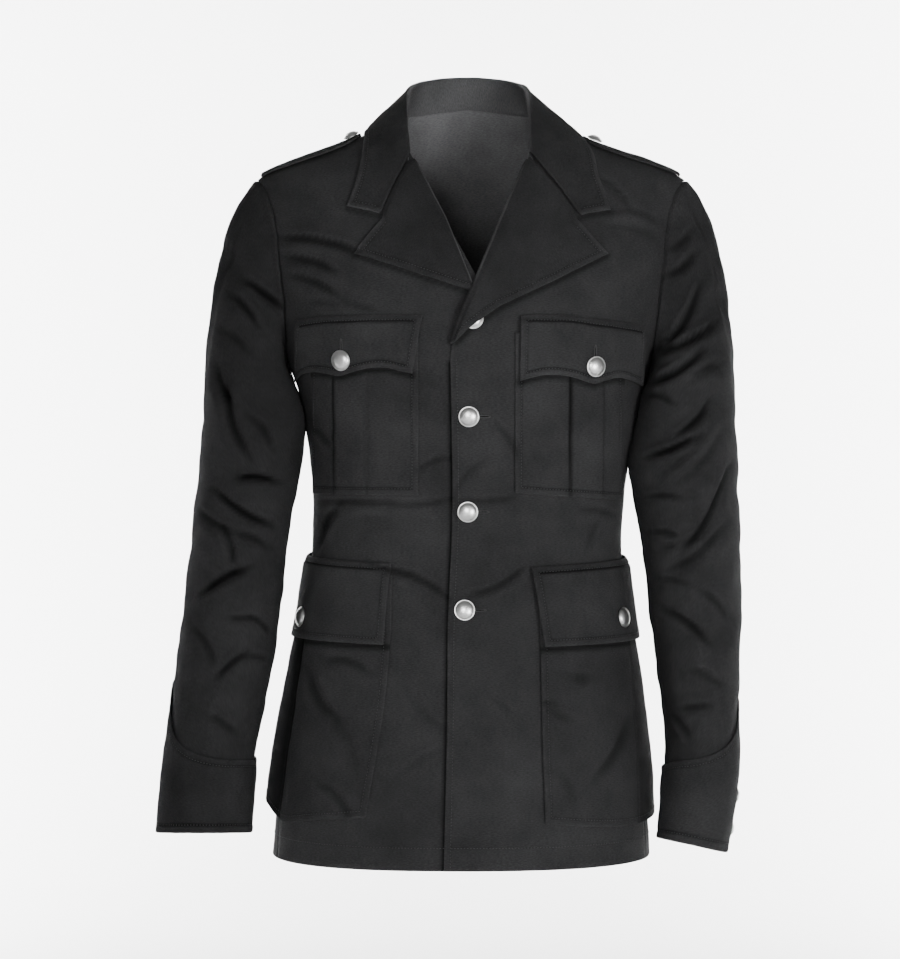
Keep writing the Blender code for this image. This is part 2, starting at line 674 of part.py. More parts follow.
def breast_pocket(letter):
    """Patch pocket with a raised box pleat down its middle."""
    sizes = BREAST_POCKET[letter]
    (outer_x, outer_z), (inner_x, inner_z) = sizes["outer"], sizes["inner"]
    pleat_a, pleat_b = sorted(sizes["pleat"], key=abs)
    side = np.sign(outer_x)
    x = np.array([inner_x, pleat_a - 3 * side, pleat_a, pleat_b, pleat_b + 3 * side, outer_x])
    share = np.linspace(0, 1, 8)[:, None]
    low = np.interp(np.abs(x), np.sort(np.abs([inner_x, outer_x])), (inner_z, outer_z))
    z = sizes["top"] + (low - sizes["top"])[None, :] * share
    lines = angle_at(np.broadcast_to(x, z.shape), z)
    steps = (0, 0.5, 1, 2, 2.5, 3, 4, 4.33, 4.67, 5)
    raised = np.interp(steps, range(6), (0, 0, 1.5, 1.5, 0, 0))
    angles = np.array([np.interp(steps, range(6), line) for line in lines])
    z = np.array([np.interp(steps, range(6), line) for line in z])
    lift = LAYER_GAP + POCKET_WALL + raised * (1 - 0.5 * share ** 4)
    layer("breast_pocket_" + letter, angles, z, lift, POCKET_WALL)


def breast_flap(letter):
    """Shaped flap, close to the panel at its stitched upper edge."""
    top_x, top, low_x, low = BREAST_FLAP[letter].T
    share = np.array([0, 0.14, 0.45, 0.8, 1.0])[:, None]
    x = top_x + (low_x - top_x) * share
    z = top + (low - top) * share
    angles = angle_at(x, z)
    sizes = BREAST_POCKET[letter]
    near, far = sorted(np.abs(sizes["pleat"]))
    over = np.clip((np.abs(x) - near + 14) / 12, 0, 1) * np.clip((far + 14 - np.abs(x)) / 12, 0, 1)
    rise = np.array([0.0, 2.9, 3.2, 3.3, 3.1])[:, None]
    lift = LAYER_GAP + WALL + rise + 1.6 * over * np.minimum(rise, 1)
    layer("breast_flap_" + letter, angles, z, lift)


def lower_pocket(letter):
    """Bellows pocket that wraps round the side, with a deep crease down its middle."""
    sizes = LOWER_POCKET[letter]
    distance = np.array([0, 22, 45, 68, 90, 100, LOWER_PLEAT, 112, 130, 150, 170, 190,
                         LOWER_POCKET_WIDTH])
    share = np.linspace(0, 1, 10)
    low = np.interp(distance, sizes["bottom"][:, 0], sizes["bottom"][:, 1])
    angles = np.zeros((len(share), len(distance)))
    z = sizes["top"] + (low - sizes["top"])[None, :] * share[:, None]
    for i in range(len(share)):
        for j, gone in enumerate(distance):
            start = angle_at(np.interp(z[i, j], sizes["edge"][:, 0], sizes["edge"][:, 1]), z[i, j])
            angles[i, j] = angle_after(start, z[i, j], gone)
    swell = np.clip(distance / 60, 0, 1) * np.clip((LOWER_POCKET_WIDTH - distance) / 40, 0, 1)
    rear = np.clip((distance - LOWER_PLEAT - 4) / 22, 0, 1)
    rear = LOWER_REAR[letter] * rear * np.clip((LOWER_POCKET_WIDTH + 14 - distance) / 40, 0, 1)
    crease = np.exp(-((distance - LOWER_PLEAT) / 4) ** 2)
    full = swell[None, :] * (0.9 + 1.9 * share[:, None]) * (1 - 0.75 * crease)
    lift = LAYER_GAP + 0.4 + POCKET_WALL + full + rear[None, :] * share[:, None] ** 1.3
    layer("lower_pocket_" + letter, angles, z, lift, POCKET_WALL)


def lower_flap(letter):
    """Straight flap of the lower pocket; gives the lift of its button."""
    sizes = LOWER_POCKET[letter]
    distance = np.linspace(0, sizes["flap_width"], 12)
    share = np.array([0, 0.12, 0.45, 0.75, 1.0])
    top = np.linspace(*sizes["flap_top"], len(distance))
    low = np.linspace(*sizes["flap_low"], len(distance))
    edge = sizes["flap_edge"][0] + (sizes["flap_edge"][1] - sizes["flap_edge"][0]) * share
    z = top[None, :] + (low - top)[None, :] * share[:, None]
    angles = np.zeros(z.shape)
    for i in range(len(share)):
        for j, gone in enumerate(distance):
            angles[i, j] = angle_after(angle_at(edge[i], z[i, j]), z[i, j], gone)
    rise = np.array([0.0, 3.8, 4.3, 4.6, 4.8])[:, None]
    swell = np.clip(distance / 40, 0, 1) * np.clip((sizes["flap_width"] - distance) / 40, 0, 1)
    lift = LAYER_GAP + 0.4 + WALL + rise + 0.6 * swell * np.minimum(rise, 1)
    layer("lower_flap_" + letter, angles, z, lift)
    return lift[3].max()


def shoulder_point(x, y, out):
    """Point of the body form above a place x, y on the shoulder, found by halving in z."""
    low = np.full(np.shape(x), -160.0)
    high = np.full(np.shape(x), -0.5)
    for _ in range(40):
        z = (low + high) / 2
        half, front, back, centre = ring_sizes(z)
        depth = np.where(y < 0, front, back)
        inside = np.abs((x - centre) / half) ** SHAPE + np.abs(y / depth) ** SHAPE < 1
        low = np.where(inside, z, low)
        high = np.where(inside, high, z)
    z = (low + high) / 2
    half, front, back, centre = ring_sizes(z)
    return body_point(np.degrees(np.arctan2(x - centre, -y)), z, out)


def epaulette(letter):
    """Shoulder strap lying across the shoulder seam, its end rounded towards the collar."""
    x, middle, half = EPAULETTE[letter].T
    across = np.array([-1, -0.6, -0.2, 0.2, 0.6, 1.0])
    y = middle[:, None] + half[:, None] * across[None, :]
    x = np.broadcast_to(x[:, None], y.shape)
    lift = 0.9 + WALL + 0.8 * (1 - across[None, :] ** 2) + 0 * y
    outer = shoulder_point(x, y, lift)
    inner = shoulder_point(x, y, lift - WALL)
    cloth("epaulette_" + letter, outer, inner)


def button(name, centre, normal, radius):
    """Plain dome: a profile turned round the normal, with a flat underside."""
    profile = [(0, BUTTON_H), (radius * 0.45, BUTTON_H * 0.9), (radius * 0.82, BUTTON_H * 0.55),
               (radius, BUTTON_H * 0.16), (radius * 0.92, 0), (0, 0)]
    mesh = bpy.data.meshes.new(name)
    points = [(r * MM, 0, h * MM) for r, h in profile]
    mesh.from_pydata(points, [(k, k + 1) for k in range(len(points) - 1)], [])
    made = bpy.data.objects.new(name, mesh)
    screw = made.modifiers.new("turned", "SCREW")
    screw.steps = 12
    screw.render_steps = 12
    screw.use_merge_vertices = True
    screw.merge_threshold = 0.00005
    made.location = tuple(np.asarray(centre) * MM)
    direction = Vector(normal)
    made.rotation_mode = "QUATERNION"
    made.rotation_quaternion = direction.to_track_quat("Z", "Y")
    made.data.materials.append(material(name + "_metal", METAL, 0.35, 1.0))
    JACKET.objects.link(made)


def button_on_body(name, angle, z, lift, radius):
    base = body_point(angle, z, lift + SEAM_GAP)
    normal = body_point(angle, z, lift + 1.0) - body_point(angle, z, lift)
    button(name, base, normal, radius)


def cuff_buttons(letter, table):
    """Two buttons at the cuff's outer back, square to its surface."""
    share = CUFF_BUTTON_ANGLE[letter] * RING / 360
    low, high = int(share), (int(share) + 1) % RING
    part = share - int(share)
    for count, height in enumerate(CUFF_BUTTON_HEIGHTS, 1):
        levels = -table[-1, 0] - np.array([height - 6, height, height + 6])
        rings = level_ring(table, levels, LAYER_GAP + WALL)
        line = rings[:, low] * (1 - part) + rings[:, high] * part
        normal = np.cross(rings[1, high] - rings[1, low], line[2] - line[0])
        normal /= np.linalg.norm(normal)
        normal *= np.sign(np.dot(normal, line[1] - rings[1].mean(axis=0)))
        centre = line[1] + normal * (SEAM_GAP + 0.55)
        button("cuff_button_%s_%d" % (letter, count), centre, normal, CUFF_BUTTON_R)


def build():
    front_panel("front_l", 1, EDGE_LEFT, ROLL_LEFT)
    front_panel("front_r", -1, EDGE_RIGHT, ROLL_RIGHT)
    back_panel()
    collar()
    sides = (("r", -1, SLEEVE_RIGHT), ("l", 1, SLEEVE_LEFT))
    for letter, side, table in sides:
        sleeve(letter, side, table)
        cuff(letter, table)
        cuff_buttons(letter, table)
        lapel(letter)
        epaulette(letter)
        breast_pocket(letter)
        breast_flap(letter)
        lower_pocket(letter)
        lift = lower_flap(letter)
        x, z = LOWER_BUTTON[letter]
        button_on_body("lower_button_" + letter, angle_at(x, z), z, lift, BUTTON_R)
        x, z = BREAST_BUTTON[letter]
        button_on_body("breast_button_" + letter, angle_at(x, z), z, 7.9, BUTTON_R)
        x, y = np.array(EPAULETTE_BUTTON[letter], float)
        base = shoulder_point(x, y, 4.7)
        tip = shoulder_point(x, y, 5.7)
        lean = tip - base - np.array([0, SHOULDER_BUTTON_TILT, 0])
        button("shoulder_button_" + letter, base, lean, CUFF_BUTTON_R)
    for count, (x, z) in enumerate(FRONT_BUTTONS, 1):
        button_on_body("front_button_%d" % count, angle_at(x, z), z, 0.3, BUTTON_R)


for old in list(bpy.data.objects):
    bpy.data.objects.remove(old)
JACKET = collection("jacket")
build()
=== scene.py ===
"""Military uniform jacket in worn shape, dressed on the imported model.

Tables and functions work in millimetres: +X to the wearer's left, -Y to the front, +Z up. The
origin is midway between the two points where the shoulder seams meet the collar.
"""

import bpy
import numpy as np
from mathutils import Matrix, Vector


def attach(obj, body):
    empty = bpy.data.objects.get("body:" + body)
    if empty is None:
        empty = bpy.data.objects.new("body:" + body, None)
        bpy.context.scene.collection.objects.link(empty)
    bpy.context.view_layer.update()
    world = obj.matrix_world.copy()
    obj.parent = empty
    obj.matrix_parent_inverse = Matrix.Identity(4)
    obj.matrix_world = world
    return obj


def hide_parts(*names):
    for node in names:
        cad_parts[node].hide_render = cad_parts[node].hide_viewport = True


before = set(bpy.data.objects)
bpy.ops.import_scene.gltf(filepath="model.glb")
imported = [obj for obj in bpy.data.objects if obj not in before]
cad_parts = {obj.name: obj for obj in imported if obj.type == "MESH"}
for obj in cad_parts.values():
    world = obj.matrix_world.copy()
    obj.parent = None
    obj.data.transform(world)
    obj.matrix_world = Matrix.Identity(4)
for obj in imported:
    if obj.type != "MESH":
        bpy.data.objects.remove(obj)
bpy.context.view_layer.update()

# Driving sizes
MM = 0.001
CLOTH = 1.5             # two turned layers of twill at an edge
PATCH = 1.3             # pocket cloth
GAP = 0.8               # between a panel and what lies on it
WALL = 2.0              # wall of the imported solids, which the pieces here follow
SHAPE = 2.4             # exponent of the body's level rings
SHOULDER_TIP_Z = -63.0
UNDERARM_Z = -245.0
HEM_Z = -733.0
SIDE_GAP = 0.06         # degrees between a panel's edge and the side or armhole seam
SHOULDER_GAP = 0.1      # degrees between a panel's edge and the shoulder seam
UNDERLAP = 2.9          # how deep the right front lies under the left one
STITCH_IN = 6.4         # line of stitches in from an edge
STITCH_PITCH = 3.0
HEM_STITCH_IN = 22.0    # line of stitches above the hem
GRID = 3.0              # step of the grids, where nothing finer is needed
BUTTON_R = 10.0
CUFF_BUTTON_R = 8.0
BUTTON_H = 4.6
BUTTON_SEAT = 0.3       # air between a button and its cloth
FLAP_FACE = 7.9         # how far a breast flap's face stands off the body at its button
STRAP_FACE = 4.7        # the same for the shoulder strap
HOLE_LENGTH = 15.0
HOLE_ABOVE = 13.5       # buttonhole of a breast flap above its button
HOLE_BESIDE = 14.0      # buttonhole of the front beside its button


def as_table(*rows):
    """Numbers in rows, one row for each place."""
    return np.array(rows, float)


# Level rings of the jacket's body
BODY = as_table(
    # z, half width, front depth, back depth, centre x
    (-760, 191, 133, 121, -7.5),
    (-733, 188, 130, 118, -7.0),
    (-640, 181, 122, 114, -5.0),
    (-560, 171, 112, 104, -3.5),
    (-480, 159, 103, 93, -2.0),
    (-420, 154, 100, 88, -1.0),
    (-360, 157, 104, 92, 1.2),
    (-300, 167, 112, 102, 3.0),
    (-272, 173, 115, 106, 3.0),
    (-245, 181, 117, 109, 2.0),
    (-180, 202, 111, 110, 3.0),
    (-120, 211, 97, 100, 3.0),
    (-80, 214, 82, 87, 3.0),
    (-63, 212, 74, 79, 3.0),
    (-49, 183, 66, 73, 2.0),
    (-40, 157, 60, 70, 1.5),
    (-27, 122, 52, 66, 1.0),
    (-15, 99, 44, 62, 0.5),
    (0, 72, 36, 58, 0.0),
    (8, 67, 33, 56, 0.0),
    (18, 63, 30, 54, 0.0),
)
NECKLINE = as_table(
    # angle, z
    (42.6, -49), (49, -35), (60, -18), (74, -5), (90, 0), (120, 6), (150, 12), (180, 16),
)
ARMHOLE_FRONT = as_table(
    # angle, z
    (90, -63), (83, -68), (78, -90), (75, -120), (73.5, -155), (73, -185), (75, -212),
    (80, -233), (90, -245),
)
ARMHOLE_BACK = as_table(
    # angle, z
    (90, -63), (98, -69), (105, -95), (108, -125), (109, -155), (108, -190), (104, -218),
    (98, -236), (90, -245),
)
SIDE_SEAM = as_table(
    # z, angle
    (-760, 75), (-733, 75), (-500, 81), (-350, 86), (-245, 90),
)
EDGE = {
    "l": as_table(
        # x, z
        (-24, -733), (-21, -591), (-20, -495), (-16, -401), (-17, -293), (-18, -245),
    ),
    "r": as_table(
        # x, z
        (16, -733), (18, -591), (18, -495), (20, -401), (19, -293), (18, -245),
    ),
}
ROLL = {
    "l": as_table(
        # x, z
        (-18, -245), (-16, -232), (9, -170), (33, -111), (58, -49),
    ),
    "r": as_table(
        # x, z
        (18, -245), (18, -196), (9, -170), (-23, -110), (-54, -48),
    ),
}

# Main folds of the body, the same as in the solids
BODY_FOLDS = as_table(
    # x0, z0, x1, z1, width, depth, side
    (-140, -397, -30, -398, 12, 3.0, 1),
    (-80, -452, -28, -478, 12, 2.2, 1),
    (4, -476, 60, -450, 12, 2.0, 1),
    (60, -406, 135, -404, 12, 2.4, 1),
    (-165, -110, -95, -104, 13, 2.2, 1),
    (-120, -398, 40, -406, 16, 4.0, -1),
    (-40, -446, 125, -436, 15, 3.4, -1),
    (-105, -130, -122, -250, 18, 2.6, -1),
    (92, -120, 116, -235, 18, 2.4, -1),
)

# Finer creases of the body; a depth below nought is a ridge
BODY_CREASES = as_table(
    # x0, z0, x1, z1, bow, width, depth, side
    (-178, -126, -110, -141, 3, 5, 3.0, 1),
    (-176, -146, -132, -160, 3, 5, 2.8, 1),
    (-172, -164, -130, -182, 3, 5, 2.2, 1),
    (-152, -190, -122, -195, 1, 4, 1.2, 1),
    (-126, -186, -88, -199, -2, 4, 1.3, 1),
    (137, -107, 180, -114, 3, 6, -1.8, 1),
    (126, -68, 156, -96, 3, 5, 1.4, 1),
    (-147, -384, -60, -387, 2, 4, 1.8, 1),
    (-60, -386, -17, -381, -2, 3.5, 1.4, 1),
    (-126, -388, -142, -416, -3, 5, 2.0, 1),
    (-74, -450, -22, -474, 4, 4, 2.2, 1),
    (-98, -441, -52, -452, -2, 3.5, 1.2, 1),
    (2, -472, 52, -447, -4, 4, 1.8, 1),
    (-48, -352, -18, -341, 2, 4, 1.2, 1),
    (-3, -382, 46, -378, -2, 4, 1.3, 1),
    (28, -312, 46, -341, 3, 4, 1.3, 1),
    (-12, -372, 16, -343, 3, 4, 0.9, 1),
    (-138, -400, -147, -428, 1, 5, 1.8, 1),
    (-150, -312, -132, -330, 2, 5, 1.4, 1),
    (112, -392, 146, -398, 2, 4, 1.5, 1),
    (130, -398, 118, -424, -2, 4, 1.2, 1),
    (-60, -560, -26, -596, -4, 7, 0.7, 1),
    (8, -560, 44, -590, 4, 7, 0.6, 1),
    (-62, -640, -24, -618, 3, 7, 0.5, 1),
    (-120, -405, -20, -412, 5, 5, 1.8, -1),
    (10, -408, 96, -402, -4, 5, 1.6, -1),
    (-80, -440, 60, -452, 5, 5, 1.4, -1),
    (-140, -378, -70, -392, 3, 5, 1.5, -1),
    (64, -380, 138, -372, -3, 5, 1.5, -1),
    (-150, -150, -112, -210, 5, 6, 1.4, -1),
    (146, -150, 112, -205, -5, 6, 1.4, -1),
    (-70, -80, -20, -86, 4, 7, 0.8, -1),
    (24, -88, 78, -80, 4, 7, 0.8, -1),
    (-160, -240, -118, -282, 4, 6, 1.3, -1),
    (158, -240, 120, -280, -4, 6, 1.3, -1),
    (-60, -560, -72, -690, 6, 12, 0.9, -1),
    (52, -540, 66, -690, -6, 12, 0.9, -1),
)

# Sleeves below the underarm
SLEEVE = {
    "r": as_table(
        # z, outer x, inner x, y middle, half depth, rise to the front, drop of the outer side
        (-302, -261, -165.5, -32, 61, 0.00, 0),
        (-350, -266, -169, -27, 61, 0.00, 0),
        (-402, -272, -176, -22, 59, 0.02, 0),
        (-446, -277, -181, -22, 57, 0.04, 0),
        (-500, -283, -187, -25, 54, 0.06, 0),
        (-552, -289, -194, -30, 51, 0.08, 0),
        (-598, -293, -204, -34, 48, 0.10, 0),
        (-638, -298, -210, -38, 46, 0.12, 0),
        (-707, -304, -215, -44, 45, 0.13, 0),
    ),
    "l": as_table(
        # z, outer x, inner x, y middle, half depth, rise to the front, drop of the outer side
        (-302, 263, 170, -32, 61, 0.00, 0),
        (-350, 266, 167, -29, 60, 0.00, 0),
        (-402, 268, 171, -26, 59, 0.03, 0),
        (-446, 269, 174, -28, 57, 0.05, 0),
        (-500, 269, 180, -33, 54, 0.08, 0),
        (-552, 266, 186, -40, 50, 0.11, 0),
        (-604, 263, 192, -48, 47, 0.13, 1),
        (-650, 261, 191, -56, 45, 0.14, 3),
        (-716, 249, 186, -66, 43, 0.14, 7),
    ),
}
SLEEVE_SEAMS = (172, 238)       # the two long seams, as angles round the sleeve
SLEEVE_FOLDS = {
    "r": as_table(
        # x0, z0, x1, z1, width, depth, side
        (-232, -150, -190, -186, 15, 4.0, 1),
        (-236, -354, -184, -364, 15, 6.5, 1),
        (-270, -468, -212, -446, 15, 5.0, 1),
        (-250, -556, -216, -532, 14, 3.5, 1),
        (-240, -380, -190, -392, 16, 4.0, -1),
        (-270, -480, -215, -470, 16, 3.5, -1),
    ),
    "l": as_table(
        # x0, z0, x1, z1, width, depth, side
        (188, -222, 248, -186, 15, 5.5, 1),
        (180, -324, 240, -288, 15, 6.5, 1),
        (204, -438, 258, -374, 15, 5.0, 1),
        (196, -490, 238, -514, 14, 4.0, 1),
        (190, -370, 245, -385, 16, 4.0, -1),
        (205, -470, 250, -462, 16, 3.5, -1),
    ),
}

# How far the sleeve's inner side leans on the body below the underarm
SLEEVE_LEAN = {
    "r": as_table(
        # z, distance
        (-400, 0), (-370, 3), (-345, 4.5), (-320, 5.5), (-300, 5), (-285, 4.5), (-268, 3), (-250, 0),
    ),
    "l": as_table(
        # z, distance
        (-430, 0), (-405, 3.5), (-385, 5), (-368, 7.5), (-354, 9.5), (-340, 9), (-325, 6.5),
        (-300, 5.5), (-278, 4), (-255, 0),
    ),
}
SLEEVE_CREASES = {
    "r": as_table(
        # x0, z0, x1, z1, bow, width, depth, side
        (-220, -166, -182, -194, 3, 5, 2.4, 1),
        (-232, -182, -206, -210, 3, 5, 2.0, 1),
        (-246, -214, -214, -236, 3, 7, 1.2, 1),
        (-243, -256, -228, -286, -3, 6, 2.0, 1),
        (-233, -268, -212, -338, -6, 7, 2.2, 1),
        (-212, -300, -190, -330, 4, 6, 1.4, 1),
        (-222, -361, -183, -365, 2, 4, 3.4, 1),
        (-244, -374, -194, -405, -3, 5, 3.0, 1),
        (-262, -392, -232, -410, -2, 6, 1.8, 1),
        (-236, -411, -228, -445, 3, 5, 1.8, 1),
        (-224, -414, -196, -426, 2, 5, 1.6, 1),
        (-260, -470, -214, -449, 3, 5, 2.8, 1),
        (-230, -496, -208, -496, 0, 4, 1.6, 1),
        (-209, -496, -194, -512, 2, 4, 1.6, 1),
        (-268, -505, -246, -538, 3, 6, 1.4, 1),
        (-242, -552, -215, -532, 2, 5, 2.2, 1),
        (-211, -534, -196, -538, 1, 4, 1.4, 1),
        (-250, -590, -226, -606, 2, 7, 1.2, 1),
        (-244, -380, -196, -372, 3, 5, 2.4, -1),
        (-266, -408, -206, -400, -4, 5, 2.4, -1),
        (-250, -440, -206, -452, 3, 5, 2.0, -1),
        (-276, -486, -226, -474, 3, 5, 2.0, -1),
        (-252, -230, -206, -262, 4, 7, 1.8, -1),
        (-240, -300, -200, -330, 4, 7, 1.6, -1),
        (-270, -560, -232, -540, -3, 6, 1.6, -1),
    ),
    "l": as_table(
        # x0, z0, x1, z1, bow, width, depth, side
        (195, -138, 218, -119, -2, 5, 1.8, 1),
        (192, -163, 222, -140, -3, 5, 2.2, 1),
        (182, -232, 226, -172, -6, 5, 2.8, 1),
        (182, -236, 243, -208, -4, 5, 3.2, 1),
        (178, -266, 227, -236, -4, 5, 3.2, 1),
        (173, -278, 195, -288, 2, 4, 1.8, 1),
        (212, -262, 246, -250, 2, 6, 1.6, 1),
        (200, -319, 233, -288, -3, 5, 3.0, 1),
        (175, -338, 217, -321, -2, 4, 3.8, 1),
        (196, -356, 236, -311, -4, 6, -2.4, 1),
        (175, -379, 202, -379, 1, 4, 2.0, 1),
        (180, -413, 202, -416, 1, 4, 2.0, 1),
        (189, -428, 210, -420, -1, 4, 1.8, 1),
        (202, -434, 252, -353, -7, 6, 2.6, 1),
        (199, -446, 244, -410, -3, 7, 2.2, 1),
        (188, -459, 211, -462, 1, 4, 1.6, 1),
        (189, -489, 229, -516, 3, 5, 2.4, 1),
        (226, -470, 250, -494, 3, 6, 1.4, 1),
        (205, -583, 231, -579, 1, 5, 1.8, 1),
        (197, -592, 212, -609, 1, 4, 1.4, 1),
        (214, -545, 244, -560, 2, 7, 1.2, 1),
        (186, -366, 240, -380, 3, 5, 2.6, -1),
        (196, -402, 250, -396, -3, 5, 2.4, -1),
        (190, -436, 240, -450, 3, 5, 2.0, -1),
        (206, -480, 250, -468, 3, 5, 2.0, -1),
        (200, -232, 246, -262, 4, 7, 1.8, -1),
        (196, -300, 236, -328, 4, 7, 1.6, -1),
        (204, -540, 244, -556, 3, 6, 1.6, -1),
    ),
}
CUFF_TOP = {
    "r": as_table(
        # angle, height
        (0, 146), (20, 112), (40, 93), (60, 82), (90, 72), (140, 69), (180, 70), (250, 92),
        (300, 140), (340, 153), (360, 146),
    ),
    "l": as_table(
        # angle, height
        (0, 138), (20, 115), (40, 102), (60, 92), (90, 82), (140, 76), (180, 72), (250, 92),
        (300, 136), (340, 147), (360, 138),
    ),
}

# Collar, seen from the front end of its fold round to the centre back
FOLD_LINE = as_table(
    # x, y, z, of the wearer's left half
    (58, -67, -44), (60, -52, -20), (60, -28, 6), (59, 0, 27), (52, 28, 37), (38, 46, 43.5),
    (20, 57, 47.5), (0, 61, 49),
)
COLLAR_EDGE = {
    "r": as_table(
        # angle, z
        (-56.5, -98), (-58, -64), (-68, -33), (-90, -13), (-120, -8), (-150, -2), (-180, 2),
    ),
    "l": as_table(
        # angle, z
        (60.5, -102), (62, -64), (73, -33), (90, -16), (120, -8), (150, -2), (180, 2),
    ),
}
COLLAR_FRONT = {
    "r": as_table(
        # x, z: along the gorge, then along the free edge to the tip
        (-56, -46), (-71, -76), (-85, -106), (-102, -102), (-118, -98),
    ),
    "l": as_table(
        # x, z: along the gorge, then along the free edge to the tip
        (60, -47), (84, -76), (107, -108), (122, -105), (137, -102),
    ),
}

# Lapels: the edge from the roll line out to the tip, and from the tip back to the break
LAPEL_TOP = {
    "r": as_table(
        # x, z
        (-54, -50), (-69, -80), (-83, -111), (-97, -128), (-110, -145),
    ),
    "l": as_table(
        # x, z
        (58, -51), (82, -82), (105, -113), (120, -130), (134, -145),
    ),
}
LAPEL_LOW = {
    "r": as_table(
        # x, z
        (-110, -145), (-80, -155), (-52, -164), (-24, -173), (0, -181.5),
    ),
    "l": as_table(
        # x, z
        (134, -145), (78, -174), (30, -197), (0, -219), (-11, -230),
    ),
}
LAPEL_ROLL = {
    "r": as_table(
        # x, z
        (4, -179), (-23, -110), (-54, -50),
    ),
    "l": as_table(
        # x, z
        (-15, -232), (9, -170), (33, -111), (58, -51),
    ),
}

# Pockets
BREAST_POCKET = {
    "r": dict(top=-222, outer=(-152, -376), inner=(-48, -377), pleat=(-129, -97)),
    "l": dict(top=-222, outer=(150, -382), inner=(44, -375), pleat=(96, 129)),
}
BREAST_FLAP = {
    "r": as_table(
        # x and z of the upper edge, x and z of the shaped lower edge
        (-165, -207, -166, -265), (-152, -206, -158, -258.5), (-139, -205, -147, -257),
        (-126, -205, -134, -259), (-113, -205, -121, -261.5), (-99, -205, -108, -258),
        (-84, -205, -93, -255), (-70, -205, -78, -255), (-57, -205, -66, -258),
        (-44, -206, -53, -261),
    ),
    "l": as_table(
        # x and z of the upper edge, x and z of the shaped lower edge
        (49, -206, 48, -268), (60, -205, 58, -265), (75, -205, 72, -262), (88, -205, 86, -262),
        (103, -206, 100, -264.5), (119, -208, 117, -269.5), (132, -209, 129, -266),
        (145, -210, 141, -263), (157, -211, 153, -265), (170, -213, 166, -270),
    ),
}
LOWER_POCKET_WIDTH = 205.0
LOWER_PLEAT = 106.0
LOWER_REAR = {"r": 6.0, "l": 1.5}   # how far the half behind the crease stands out at the bottom
LOWER_POCKET = {
    "r": dict(
        # z, x of the edge nearer the front closure
        edge=as_table((-700, -99), (-682, -97), (-646, -91), (-591, -82), (-524, -75), (-440, -73)),
        # distance from that edge, z of the bottom
        bottom=as_table((0, -683), (50, -689), (106, -693), (130, -682), (205, -677)),
        top=-452, flap_edge=(-74, -80), flap_top=(-443, -432), flap_low=(-521, -516), flap_width=212),
    "l": dict(
        edge=as_table((-700, 72), (-689, 72), (-628, 70), (-576, 69), (-516, 68), (-440, 66)),
        bottom=as_table((0, -689), (50, -694), (106, -696), (130, -694), (205, -690)),
        top=-454, flap_edge=(60, 71), flap_top=(-446, -435), flap_low=(-523, -518), flap_width=212),
}
LOWER_CREASES = {
    "r": as_table(
        # x0, z0, x1, z1, bow, width, depth, side
        (-133, -536, -96, -545, 4, 7, 1.6, 1),
        (-150, -552, -126, -590, -5, 8, 1.7, 1),
        (-139, -655, -112, -684, 4, 7, 1.5, 1),
        (-120, -600, -104, -650, 3, 10, 0.8, 1),
    ),
    "l": as_table(
        # x0, z0, x1, z1, bow, width, depth, side
        (68, -575, 86, -579, 1, 4, 1.6, 1),
        (70, -582, 93, -592, 2, 5, 1.3, 1),
        (100, -551, 112, -553, 0, 9, 1.4, 1),
        (120, -646, 148, -602, -3, 9, 1.6, 1),
        (86, -640, 100, -672, 2, 9, 0.7, 1),
    ),
}

# Buttons
FRONT_BUTTONS = ((4, -209), (0, -302), (-1, -393), (-4, -487))
BREAST_BUTTON = {"r": (-119, -247), "l": (118, -253)}
LOWER_BUTTON = {"r": (-156, -499), "l": (143, -498)}
CUFF_BUTTON_HEIGHTS = (20, 50)
CUFF_BUTTON_ANGLE = {"r": 322, "l": 346}
EPAULETTE = {
    "r": as_table(
        # x, middle y, half width
        (-203, -4, 22), (-184, -8, 24), (-160, -11, 25), (-136, -11, 24), (-119, -10, 21),
        (-111, -9, 15), (-106, -7, 8),
    ),
    "l": as_table(
        # x, middle y, half width
        (208, -4, 22), (189, -8, 24), (166, -11, 25), (143, -11, 24), (127, -10, 21),
        (118, -9, 15), (113, -8, 8),
    ),
}
EPAULETTE_BUTTON = {"r": (-114, -14), "l": (124, -14)}
SHOULDER_BUTTON_TILT = 0.16     # extra lean to the front, where the strap curls down
SIDE = {"r": -1, "l": 1}

# Shade painted evenly over whole pieces, making them darker than the fronts, from 0 to 1
PIECE_SHADE = {"lapel_r": 0.25, "lapel_l": 0.1, "collar": 0.12, "sleeve_r": 0.3, "sleeve_l": 0.14,
        "cuff_r": 0.34, "cuff_l": 0.02, "epaulette_r": 0.1, "epaulette_l": 0.1,
        "lower_pocket_r": 0.08, "lower_pocket_l": 0.12, "lower_flap_l": 0.1}

STITCHES = []
HOLES = []


# Forms shared by all pieces
def cubic(t, first, last, leaving, arriving):
    """Curve from first to last as t goes from 0 to 1, with the given slopes at its ends."""
    return ((1 + 2 * t) * (1 - t) ** 2 * first + t * (1 - t) ** 2 * leaving
            + t * t * (3 - 2 * t) * last + t * t * (t - 1) * arriving)


def smooth_table(where, keys, values):
    """Cubic curve through the table's rows, with the slope at each row from its neighbours."""
    slopes = np.gradient(np.asarray(values, float), keys)
    cell = np.clip(np.searchsorted(keys, where) - 1, 0, len(keys) - 2)
    width = keys[cell + 1] - keys[cell]
    t = np.clip((where - keys[cell]) / width, 0, 1)
    return cubic(t, values[cell], values[cell + 1], width * slopes[cell], width * slopes[cell + 1])


def along(points, shares):
    """Points at shares of the length of a line of short straights."""
    steps = np.linalg.norm(np.diff(points, axis=0), axis=1)
    gone = np.concatenate([[0], np.cumsum(steps)]) / steps.sum()
    return np.stack([np.interp(shares, gone, points[:, k]) for k in range(points.shape[1])], -1)


